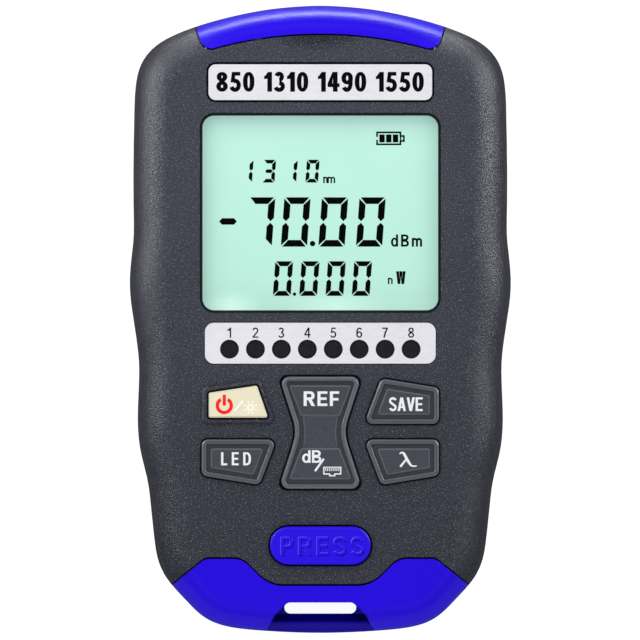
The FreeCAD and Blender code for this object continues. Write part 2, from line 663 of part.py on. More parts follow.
save("battery_plates", Part.makeCompound(plates))


# ------------------------------------------------------------- the ports
def jack(cx, cz, mouth, depth, size, k=1, tab_down=True):
    """Eight-way modular socket opening along k*Y; returns body, contacts."""
    wj, hj = size
    y0, y1 = sorted((mouth, mouth - k * depth))
    b = box(cx - wj / 2, cx + wj / 2, y0, y1, cz - hj / 2, cz + hj / 2)
    t = 1 if tab_down else -1
    # the plug's space and the channel of its catch
    lo, hi = cz - t * 3.7, cz + t * 3.6
    z0, z1 = sorted((lo, hi))
    ya, yb = sorted((mouth + k * 0.5, mouth - k * 12.6))
    c1 = box(cx - 5.95, cx + 5.95, ya, yb, z0, z1)
    z2, z3 = sorted((lo - t * 1.7, lo + t * 0.1))
    c2 = box(cx - 3.1, cx + 3.1, ya, yb, z2, z3)
    b = cut(b, [c1, c2])
    wires = []
    for i in range(8):
        x = cx + (i - 3.5) * 1.016
        p0 = V(x - 0.17, mouth - k * 2.2, hi)
        p1 = V(x - 0.17, mouth - k * 11.6, hi - t * 2.3)
        p2 = V(x - 0.17, mouth - k * 11.6, hi - t * 1.9)
        p3 = V(x - 0.17, mouth - k * 3.4, hi)
        f = Part.Face(Part.Wire(Part.makePolygon([p0, p1, p2, p3, p0])))
        wires.append(f.extrude(V(0.34, 0, 0)))
    return b, Part.makeCompound(wires)


jw, jh, jd = JACK
body_j, wires_j = jack(JACK_X, PORT_Z, 49.2, jd, (jw, jh))
save("rj45_jack", body_j)
save("rj45_contacts", wires_j)

panel = box(-BAY_X, BAY_X, PANEL_Y, PANEL_Y + 2.0, WALL, FACE_Z - WALL)
panel = cut(panel, [
    box(JACK_X - jw / 2 - 0.05, JACK_X + jw / 2 + 0.05, 40, 55,
        PORT_Z - jh / 2 - 0.05, PORT_Z + jh / 2 + 0.05),
    cyl(4.05, (FIBRE_X, 40, PORT_Z), (FIBRE_X, 55, PORT_Z)),
    cyl(2.6, (LAMP_X, 40, PORT_Z), (LAMP_X, 55, PORT_Z))])
save("port_panel", panel)


def tube(x, z, ro, ri, y0, y1):
    t = cyl(ro, (x, y0, z), (x, y1, z))
    return t.cut(cyl(ri, (x, y0 - 1, z), (x, y1 + 1, z))) if ri else t


fy = PANEL_Y + 2.0
adapter = cyl(6.5, (FIBRE_X, fy, PORT_Z), (FIBRE_X, fy + 1.5, PORT_Z))
adapter = bevel(adapter, 0.3, lambda e: e.BoundBox.YMin > fy + 1.4)
adapter = join(adapter, [
    cyl(4.0, (FIBRE_X, fy - 4.1, PORT_Z), (FIBRE_X, fy + 7.4, PORT_Z)),
    cyl(3.3, (FIBRE_X, fy - 6.6, PORT_Z), (FIBRE_X, fy - 4.0, PORT_Z))])
a1 = FreeCAD.Rotation(V(0, 1, 0), 0)
SCREW_AT = [(FIBRE_X + 5.2 * math.cos(math.radians(a)),
             PORT_Z + 5.2 * math.sin(math.radians(a))) for a in (45, 225)]
adapter = cut(adapter, [
    tube(FIBRE_X, PORT_Z, 3.1, 2.3, fy + 1.0, fy + 9.0),
    cyl(2.3, (FIBRE_X, fy + 7.0, PORT_Z), (FIBRE_X, fy + 9.0, PORT_Z)),
    cyl(1.67, (FIBRE_X, fy - 0.2, PORT_Z), (FIBRE_X, fy + 9.0, PORT_Z)),
    cyl(1.5, (FIBRE_X, fy - 9.0, PORT_Z), (FIBRE_X, fy, PORT_Z)),
    cyl(2.4, (FIBRE_X, fy - 9.0, PORT_Z), (FIBRE_X, fy - 2.6, PORT_Z)),
    box(FIBRE_X - 1.1, FIBRE_X + 1.1, fy + 5.2, fy + 9.0, PORT_Z + 2.6,
        PORT_Z + 5.0)] + [cyl(0.75, (x, fy - 1, z), (x, fy + 3, z))
                          for x, z in SCREW_AT])
save("optical_adapter", adapter)
sl = tube(FIBRE_X, PORT_Z, 1.65, 1.25, fy - 0.2, fy + 6.6)
sl = sl.cut(box(FIBRE_X - 0.2, FIBRE_X + 0.2, fy - 1, fy + 8, PORT_Z,
                PORT_Z + 2))
save("ferrule_sleeve", sl)
scr = []
for x, z in SCREW_AT:
    q = join(cyl(1.15, (x, fy + 1.5, z), (x, fy + 2.2, z)),
             [cyl(0.7, (x, fy + 0.1, z), (x, fy + 1.6, z))])
    q = q.cut(box(x - 0.8, x + 0.8, fy + 1.9, fy + 2.4, z - 0.16, z + 0.16))
    scr.append(q)
save("adapter_screws", Part.makeCompound(scr))
pd = join(cyl(2.35, (FIBRE_X, fy - 6.7, PORT_Z), (FIBRE_X, fy - 3.0, PORT_Z)),
          [cyl(2.9, (FIBRE_X, fy - 7.4, PORT_Z), (FIBRE_X, fy - 6.6,
                                                  PORT_Z))])
leads = [cyl(0.23, (FIBRE_X + dx1, fy - 12.0, PORT_Z + dz1),
             (FIBRE_X + dx1, fy - 7.3, PORT_Z + dz1))
         for dx1, dz1 in ((0, 1.27), (1.1, -0.64), (-1.1, -0.64))]
save("photodetector", join(pd, leads))
lamp = join(cyl(2.5, (LAMP_X, fy - 3.0, PORT_Z), (LAMP_X, fy + 1.2, PORT_Z)),
            [Part.makeSphere(2.5, V(LAMP_X, fy + 1.2, PORT_Z)),
             cyl(2.9, (LAMP_X, fy - 3.0, PORT_Z), (LAMP_X, fy - 2.0,
                                                   PORT_Z))])
leads = [cyl(0.25, (LAMP_X + q, fy - 10.0, PORT_Z), (LAMP_X + q, fy - 2.9,
                                                     PORT_Z))
         for q in (-1.27, 1.27)]
save("torch_led", join(lamp, leads))
bez = tube(LAMP_X, PORT_Z, 3.9, 2.6, fy, fy + 1.3)
bez = bevel(bez, 0.35, lambda e: e.BoundBox.YMin > fy + 1.2)
save("torch_bezel", bez)

# ------------------------------------------------------------- the remote
tx, tz0, tz1, ty = TONGUE
tongue = box(-tx, tx, -52.5, ty, tz0, tz1)
tongue = bevel(tongue, 0.5, lambda e: abs(e.BoundBox.YLength - (ty + 52.5))
               < 1e-3)
slot = rrect(13.9, 2.4, 1.15, 0, -55.8, -5, 40)


def dome(grow, z):
    """Outline of the recess over the strap bar."""
    p = [(-12.0, -68.0), (-10.6, -60.4), (-8.6, -56.9), (-6.3, -54.7)]
    p += [(-x, y) for x, y in reversed(p)]
    r = [0, 6.0, 4.0, 1.5]
    return rpoly(poly_offset(p, grow), r + r[::-1], z)


def strap_cuts():
    lv = [(0.0, 15.9), (0.0, 24.0), (0.22, 28.3)]
    dish = Part.makeLoft([dome(g, z) for g, z in lv], True, True)
    pr = [V(-13, -56.9, 12.0), V(-13, -58.4, 15.95), V(-13, -56.9, 15.95)]
    f = Part.Face(Part.Wire(Part.makePolygon(pr + [pr[0]])))
    wedge = f.extrude(V(26, 0, 0))
    arc = Part.Arc(V(-13, -58.7, 15.92), V(-13, -60.1, 15.2),
                   V(-13, -60.8, 13.6)).toShape()
    e1 = Part.makeLine(V(-13, -60.8, 13.6), V(-13, -62.0, 13.6))
    e2 = Part.makeLine(V(-13, -62.0, 13.6), V(-13, -62.0, 15.92))
    e3 = Part.makeLine(V(-13, -62.0, 15.92), V(-13, -58.7, 15.92))
    nose = Part.Face(Part.Wire([arc, e1, e2, e3])).extrude(V(26, 0, 0))
    nose = nose.common(prism(dome(0.0, 0), 0, 30))
    wedge = wedge.common(prism(dome(0.0, 0), 0, 30))
    return [dish, wedge, nose, slot]


outer_r = OUTER.common(remote_region(-SEAM))
hollow = INNER.common(remote_region(-2.1)).cut(
    box(-9.6, 9.6, -66, -45, -1, 40))
remote = join(outer_r, [tongue])
remote = cut(remote, [groove, hollow,
                      box(-8.2, 8.2, -52.6, ty + 2, 5.1, 17.2)])
bosses = [cyl(3.0, (x, y, 0.6), (x, y, SEAM_Z - 0.05)).common(LIMIT)
          for x, y in REMOTE_BOSSES]
bosses += [cyl(2.8, (x, y, SEAM_Z + 0.05), (x, y, 26.6)).common(LIMIT)
           for x, y in REMOTE_BOSSES]
nub = prism(rpoly([(-3.0, -45.6), (3.0, -45.6), (3.0, -41.8), (-3.0, -41.8)],
                  0.3), 18.4, 19.05)
nub = bevel(nub, 0.3, lambda e: at_z(19.05)(e) and e.BoundBox.YMin > -42)
remote = join(remote, bosses + [nub])
drill = []
for x, y in REMOTE_BOSSES:
    drill.append(cyl(0.95, (x, y, 0), (x, y, 22.0)))
    drill.append(cyl(1.35, (x, y, -1), (x, y, SEAM_Z)))
    drill.append(cyl(2.4, (x, y, -1), (x, y, 3.0)))
remote = cut(remote, strap_cuts() + drill)
save("remote_front_shell", remote.common(seam_up))
save("remote_rear_shell", remote.common(seam_down))
body_r, wires_r = jack(0.0, 11.15, ty - 0.4, 14.0, (15.6, 12.1))
save("remote_jack", body_r)
save("remote_contacts", wires_r)
rb = box(-8.2, 8.2, -52.0, -37.6, 8.6, 9.8)
save("remote_board", rb)
save("remote_diodes", Part.makeCompound(
    [cyl(0.85, (x, -50.0, 10.65), (x, -46.6, 10.65)) for x in
     (-6.3, -4.5, -2.7, -0.9, 0.9, 2.7, 4.5, 6.3)]))
save("remote_screws", Part.makeCompound(
    [screw(x, y, 3.0, 16.0, 0.9, 2.2, 1.6) for x, y in REMOTE_BOSSES]))
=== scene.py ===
"""Looks for the hand-held optical power meter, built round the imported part.

Everything is in the part's own frame: it lies on its back, +Z is the face
normal, +Y the port end.  Lengths below are millimetres, turned into metres
when a mesh is made.
"""
import math

import bmesh
import bpy
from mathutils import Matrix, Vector
from mathutils.geometry import tessellate_polygon


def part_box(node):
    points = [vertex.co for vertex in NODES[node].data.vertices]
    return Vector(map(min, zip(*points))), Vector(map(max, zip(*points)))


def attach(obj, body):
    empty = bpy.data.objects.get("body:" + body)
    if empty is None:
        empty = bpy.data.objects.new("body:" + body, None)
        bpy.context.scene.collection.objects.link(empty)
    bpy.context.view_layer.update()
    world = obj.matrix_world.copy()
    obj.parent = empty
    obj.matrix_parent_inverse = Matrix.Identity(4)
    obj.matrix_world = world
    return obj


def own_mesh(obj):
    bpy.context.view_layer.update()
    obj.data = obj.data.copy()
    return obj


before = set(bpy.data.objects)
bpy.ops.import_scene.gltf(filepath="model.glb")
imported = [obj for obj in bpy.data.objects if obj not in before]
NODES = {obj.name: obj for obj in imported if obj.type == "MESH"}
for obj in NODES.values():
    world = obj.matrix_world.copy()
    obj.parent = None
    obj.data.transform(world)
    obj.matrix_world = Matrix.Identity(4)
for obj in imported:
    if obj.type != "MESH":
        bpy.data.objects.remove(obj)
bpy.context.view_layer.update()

MM = 0.001


# ---------------------------------------------------------------- colours
def rgb(r, g, b, k=1.0):
    """Display values 0-255 as scene-linear colour, times k."""
    out = []
    for v in (r, g, b):
        v = v / 255.0
        v = v / 12.92 if v <= 0.04045 else ((v + 0.055) / 1.055) ** 2.4
        out.append(min(1.0, v * k))
    return (out[0], out[1], out[2], 1.0)


def shade(c, k):
    return (min(1.0, c[0] * k), min(1.0, c[1] * k), min(1.0, c[2] * k), 1.0)


GREY = rgb(58, 60, 71)
GREY_KEY = rgb(66, 69, 77)
GREY_RIM_HIGHLIGHT = rgb(78, 81, 88)
BLUE = rgb(39, 9, 225)
CREAM = rgb(233, 225, 195)
WHITE_INK = rgb(232, 234, 238)
BLACK_INK = rgb(7, 8, 9)


# --------------------------------------------------------- material tools
class Mat:
    """A node material with a few shorthands."""

    def __init__(self, name):
        self.m = bpy.data.materials.new(name)
        self.m.use_nodes = True
        self.nt = self.m.node_tree
        self.b = self.nt.nodes["Principled BSDF"]
        self.co = self.node("ShaderNodeTexCoord").outputs["Object"]

    def node(self, kind, **props):
        n = self.nt.nodes.new(kind)
        for k, v in props.items():
            setattr(n, k, v)
        return n

    def link(self, a, b):
        self.nt.links.new(a, b)

    def noise(self, size, detail=2.0, rough=0.5, stretch=None):
        """Noise whose features are about size millimetres."""
        n = self.node("ShaderNodeTexNoise")
        n.inputs["Scale"].default_value = 1.0 / (size * MM)
        n.inputs["Detail"].default_value = detail
        n.inputs["Roughness"].default_value = rough
        src = self.co
        if stretch:
            mp = self.node("ShaderNodeMapping")
            mp.inputs["Scale"].default_value = stretch
            self.link(src, mp.inputs["Vector"])
            src = mp.outputs["Vector"]
        self.link(src, n.inputs["Vector"])
        return n.outputs["Fac"]

    def span(self, src, a, b, lo=0.0, hi=1.0):
        """Maps src from a..b to lo..hi, clamped."""
        r = self.node("ShaderNodeMapRange")
        r.inputs["From Min"].default_value = a
        r.inputs["From Max"].default_value = b
        r.inputs["To Min"].default_value = lo
        r.inputs["To Max"].default_value = hi
        self.link(src, r.inputs["Value"])
        return r.outputs["Result"]

    def mix(self, fac, a, b):
        x = self.node("ShaderNodeMix", data_type="RGBA")
        ca, cb = x.inputs[6], x.inputs[7]
        if isinstance(fac, float):
            x.inputs[0].default_value = fac
        else:
            self.link(fac, x.inputs[0])
        for s, v in ((ca, a), (cb, b)):
            if isinstance(v, tuple):
                s.default_value = v
            else:
                self.link(v, s)
        return x.outputs[2]

    def times(self, colour, k):
        """Colour times a number."""
        n = self.node("ShaderNodeVectorMath", operation="SCALE")
        self.link(colour, n.inputs[0])
        self.link(k, n.inputs["Scale"])
        return n.outputs[0]

    def axis(self, name):
        s = self.node("ShaderNodeSeparateXYZ")
        self.link(self.co, s.inputs[0])
        return s.outputs[name]

    def maths(self, op, a, b=None):
        n = self.node("ShaderNodeMath", operation=op)
        for i, v in enumerate((a, b)):
            if v is None:
                continue
            if isinstance(v, (int, float)):
                n.inputs[i].default_value = v
            else:
                self.link(v, n.inputs[i])
        return n.outputs[0]

    def bump(self, height, depth, soft=0.0):
        """height 0..1 raised by depth millimetres; soft rounds the edges."""
        n = self.node("ShaderNodeBump")
        n.inputs["Strength"].default_value = 1.0
        n.inputs["Distance"].default_value = depth * MM
        self.link(height, n.inputs["Height"])
        if soft:
            v = self.node("ShaderNodeBevel", samples=4)
            v.inputs["Radius"].default_value = soft * MM
            self.link(v.outputs["Normal"], n.inputs["Normal"])
        self.link(n.outputs["Normal"], self.b.inputs["Normal"])
        self.link(n.outputs["Normal"], self.b.inputs["Coat Normal"])

    def put(self, socket, v):
        s = self.b.inputs[socket]
        if isinstance(v, (int, float, tuple)):
            s.default_value = v
        else:
            self.link(v, s)


def moulded(name, col, rough=0.5, grain=0.34, depth=0.02, vary=0.10,
            glint=None, glint_at=0.66, glint_k=0.4, level=0.5, soft=0.12,
            tone=0.04, coat=0.0, coat_rough=0.3, painted_low_shade=0.0,
            painted_notch_shade=0.0):
    """Moulded plastic or rubber with a spark-eroded grain."""
    m = Mat(name)
    fine = m.noise(grain, 2.0, 0.6)
    slow = m.noise(22.0, 2.0, 0.5)
    c = m.mix(m.span(fine, 0.36, 0.64), shade(col, 1 - vary),
              shade(col, 1 + vary))
    k = m.span(slow, 0.3, 0.7, 1 - tone, 1 + tone)
    if painted_notch_shade:
        # painted shade: darker in the finger notch under the port cover, where
        # it faces away from the light
        dx = m.maths("DIVIDE", m.maths("ADD", m.axis("X"), 0.0005), 0.0098)
        dy = m.maths("DIVIDE", m.maths("SUBTRACT", m.axis("Y"), 0.0553),
                     0.0036)
        r2 = m.maths("ADD", m.maths("MULTIPLY", dx, dx),
                     m.maths("MULTIPLY", dy, dy))
        k = m.maths("MULTIPLY", k, m.span(r2, 0.05, 1.0, painted_notch_shade, 1.0))
    # painted shade: the colour darkens towards the low end, where the light
    # falls off
    if painted_low_shade:
        k = m.maths("MULTIPLY", k, m.span(m.axis("Y"), -0.048, 0.026, painted_low_shade,
                                          1.0))
    c = m.times(c, k)
    # painted glints: light specks that stand for glints off the grain
    if glint:
        glint_dots = m.noise(grain * 0.9, 1.0, 0.4)
        c = m.mix(m.span(glint_dots, glint_at, glint_at + 0.07, 0.0, glint_k), c,
                  glint)
    m.put("Base Color", c)
    m.put("Roughness", m.span(fine, 0.25, 0.75, rough - 0.07, rough + 0.07))
    m.put("IOR", 1.49)
    m.put("Specular IOR Level", level)
    if coat:
        m.put("Coat Weight", coat)
        m.put("Coat Roughness", coat_rough)
        m.put("Coat IOR", 1.5)
    m.bump(fine, depth, soft)
    return m.m


def ink(name, col, rough=0.45, depth=0.004, vary=0.05, level=0.3):
    """Printed ink: even colour with a slight mottle and tooth."""
    m = Mat(name)
    n = m.noise(0.25, 2.0)
    m.put("Base Color", m.mix(m.span(n, 0.3, 0.7), shade(col, 1 - vary),
                              shade(col, 1 + vary)))
    m.put("Roughness", m.span(n, 0.3, 0.7, rough - 0.05, rough + 0.05))
    m.put("Specular IOR Level", level)
    m.bump(n, depth)
    return m.m


def metal(name, col, rough=0.28, brushed=(1, 1, 1), depth=0.004, size=0.2):
    m = Mat(name)
    n = m.noise(size, 3.0, 0.6, stretch=brushed)
    m.put("Base Color", m.mix(m.span(n, 0.3, 0.7), shade(col, 0.86), col))
    m.put("Roughness", m.span(n, 0.3, 0.7, rough - 0.08, rough + 0.08))
    m.put("Metallic", 1.0)
    m.bump(n, depth, 0.05)
    return m.m


def board(name):
    """Solder mask over copper tracks, with plated pads."""
    m = Mat(name)
    brick = m.node("ShaderNodeTexBrick")
    brick.inputs["Scale"].default_value = 420.0
    brick.inputs["Mortar Size"].default_value = 0.03
    brick.inputs["Brick Width"].default_value = 0.9
    brick.inputs["Row Height"].default_value = 0.35
    brick.offset = 0.37
    m.link(m.co, brick.inputs["Vector"])
    v = m.node("ShaderNodeTexVoronoi", feature="F1")
    v.inputs["Scale"].default_value = 330.0
    m.link(m.co, v.inputs["Vector"])
    pads = m.span(v.outputs["Distance"], 0.10, 0.13, 1.0, 0.0)
    tracks = m.span(brick.outputs["Fac"], 0.4, 0.6)
    c = m.mix(tracks, rgb(18, 84, 48), rgb(30, 116, 66))
    c = m.mix(pads, c, rgb(206, 198, 160))
    m.put("Base Color", c)
    m.put("Roughness", m.span(pads, 0.0, 1.0, 0.34, 0.25))
    m.bump(m.maths("ADD", tracks, pads), 0.03)
    return m.m


# ------------------------------------------------------------- mesh tools
def poly_offset(pts, d):
    n = len(pts)
    area = sum(pts[i][0] * pts[(i + 1) % n][1]
               - pts[(i + 1) % n][0] * pts[i][1] for i in range(n))
    s = 1.0 if area > 0 else -1.0
    lines = []
    for i in range(n):
        (x0, y0), (x1, y1) = pts[i], pts[(i + 1) % n]
        ln = math.hypot(x1 - x0, y1 - y0)
        nx, ny = s * (y1 - y0) / ln, -s * (x1 - x0) / ln
        lines.append((x0 + nx * d, y0 + ny * d, x1 - x0, y1 - y0))
    out = []
    for i in range(n):
        x0, y0, dx0, dy0 = lines[i - 1]
        x1, y1, dx1, dy1 = lines[i]
        den = dx0 * dy1 - dy0 * dx1
        t = ((x1 - x0) * dy1 - (y1 - y0) * dx1) / den
        out.append((x0 + dx0 * t, y0 + dy0 * t))
    return out


def within(x, y, poly):
    n, ok = len(poly), False
    for i in range(n):
        (x0, y0), (x1, y1) = poly[i], poly[(i + 1) % n]
        if (y0 > y) != (y1 > y) and x < (x1 - x0) * (y - y0) / (y1 - y0) + x0:
            ok = not ok
    return ok


def rounded(pts, r, n=6):
    """Polygon with its corners rounded by r."""
    out = []
    k = len(pts)
    for i in range(k):
        p, a, b = Vector(pts[i]), Vector(pts[i - 1]), Vector(pts[(i + 1) % k])
        u, v = (a - p).normalized(), (b - p).normalized()
        ang = u.angle(v)
        t = r / math.tan(ang / 2)
        c = p + (u + v).normalized() * (r / math.sin(ang / 2))
        s, e = p + u * t, p + v * t
        a0 = math.atan2(s.y - c.y, s.x - c.x)
        a1 = math.atan2(e.y - c.y, e.x - c.x)
        d = (a1 - a0 + math.pi) % (2 * math.pi) - math.pi
        for j in range(n + 1):
            q = a0 + d * j / n
            out.append((c.x + r * math.cos(q), c.y + r * math.sin(q)))
    return out


def rect(x0, x1, y0, y1, r=0.0):
    p = [(x0, y0), (x1, y0), (x1, y1), (x0, y1)]
    return rounded(p, r) if r else p


def add_mesh(name, bm, body, mat, smooth=None):
    me = bpy.data.meshes.new(name)
    bmesh.ops.recalc_face_normals(bm, faces=bm.faces)
    bm.to_mesh(me)
    bm.free()
    o = bpy.data.objects.new(name, me)
    bpy.context.scene.collection.objects.link(o)
    for x in (mat if isinstance(mat, list) else [mat]):
        me.materials.append(x)
    if smooth is not None:
        me.shade_smooth()
        me.set_sharp_from_angle(angle=math.radians(smooth))
    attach(o, body)
    return o


def slab(bm, pts, z0, z1, holes=None, edge=0.0):
    """Closed prism over a polygon; edge eases its upper rim.  holes are
    loops with as many points as pts, walked the same way."""
    area = sum(pts[i][0] * pts[(i + 1) % len(pts)][1]
               - pts[(i + 1) % len(pts)][0] * pts[i][1]
               for i in range(len(pts)))
    if area < 0:
        pts = pts[::-1]
        holes = holes[::-1] if holes else None
    n = len(pts)

    def loop(p, z):
        return [bm.verts.new((x * MM, y * MM, z * MM)) for x, y in p]

    def band(a, b):
        for i in range(n):
            j = (i + 1) % n
            bm.faces.new((a[i], a[j], b[j], b[i]))

    low = loop(pts, z0)
    if edge:
        mid = loop(pts, z1 - edge)
        top = loop(poly_offset(pts, -edge), z1)
        band(low, mid)
        band(mid, top)
    else:
        top = loop(pts, z1)
        band(low, top)
    if holes:
        hl, ht = loop(holes, z0), loop(holes, z1)
        band(hl[::-1], ht[::-1]) if False else None
        for i in range(n):
            j = (i + 1) % n
            bm.faces.new((hl[j], hl[i], ht[i], ht[j]))
            bm.faces.new((top[i], top[j], ht[j], ht[i]))
            bm.faces.new((low[j], low[i], hl[i], hl[j]))
    else:
        bm.faces.new(top)
        bm.faces.new(low[::-1])
    return bm


def stroke(pts, w, closed=False):
    """Outline of a polyline of width w (a number, or one per point), with
    flat ends."""
    n = len(pts)
    ws = w if isinstance(w, (list, tuple)) else [w] * n
    left, right = [], []
    for i in range(n):
        p = Vector(pts[i])
        a = Vector(pts[i - 1]) if i else None
        b = Vector(pts[i + 1]) if i < n - 1 else None
        d1 = (p - a).normalized() if a is not None else None
        d2 = (b - p).normalized() if b is not None else None
        if d1 is None:
            t, k = d2, 1.0
        elif d2 is None:
            t, k = d1, 1.0
        else:
            t = (d1 + d2).normalized()
            k = 1.0 / max(0.35, t.dot(d1))
        nrm = Vector((-t.y, t.x)) * (ws[i] / 2 * k)
        left.append(tuple(p + nrm))
        right.append(tuple(p - nrm))
    return left + right[::-1]


def solid(bm, loops, z0, z1, edge=0.0):
    """Closed prism over an outer loop and any holes; edge draws the upper
    rim in a little."""
    low, top = [], []
    rims = []
    for k, lp in enumerate(loops):
        area = sum(lp[i][0] * lp[(i + 1) % len(lp)][1]
                   - lp[(i + 1) % len(lp)][0] * lp[i][1]
                   for i in range(len(lp)))
        if area < 0:
            lp = lp[::-1]
        low.append([bm.verts.new((x * MM, y * MM, z0 * MM)) for x, y in lp])
        if edge:
            rims.append([bm.verts.new((x * MM, y * MM, (z1 - edge) * MM))
                         for x, y in lp])
            lp = poly_offset(lp, -edge if k == 0 else edge)
        top.append([bm.verts.new((x * MM, y * MM, z1 * MM)) for x, y in lp])
    for k, (a, b) in enumerate(zip(low, top)):
        bands = ((a, rims[k]), (rims[k], b)) if edge else ((a, b),)
        for p, q in bands:
            for i in range(len(p)):
                j = (i + 1) % len(p)
                bm.faces.new((p[i], p[j], q[j], q[i]))
    for side in (low, top):
        flat = [v for lp in side for v in lp]
        tris = tessellate_polygon([[v.co for v in lp] for lp in side])
        for t in tris:
            if len({t[0], t[1], t[2]}) == 3:
                bm.faces.new((flat[t[0]], flat[t[1]], flat[t[2]]))
    return bm


def arc(cx, cy, rx, ry, a0, a1, n=14):
    return [(cx + rx * math.cos(math.radians(a0 + (a1 - a0) * i / n)),
             cy + ry * math.sin(math.radians(a0 + (a1 - a0) * i / n)))
            for i in range(n + 1)]


def bulge(cx, cy, rx, ry, a0, a1, k=0.84, n=16):
    """Arc of a squarish ellipse, fuller than a true one."""
    out = []
    for i in range(n + 1):
        a = math.radians(a0 + (a1 - a0) * i / n)
        c, d = math.cos(a), math.sin(a)
        out.append((cx + rx * math.copysign(abs(c) ** k, c),
                    cy + ry * math.copysign(abs(d) ** k, d)))
    return out


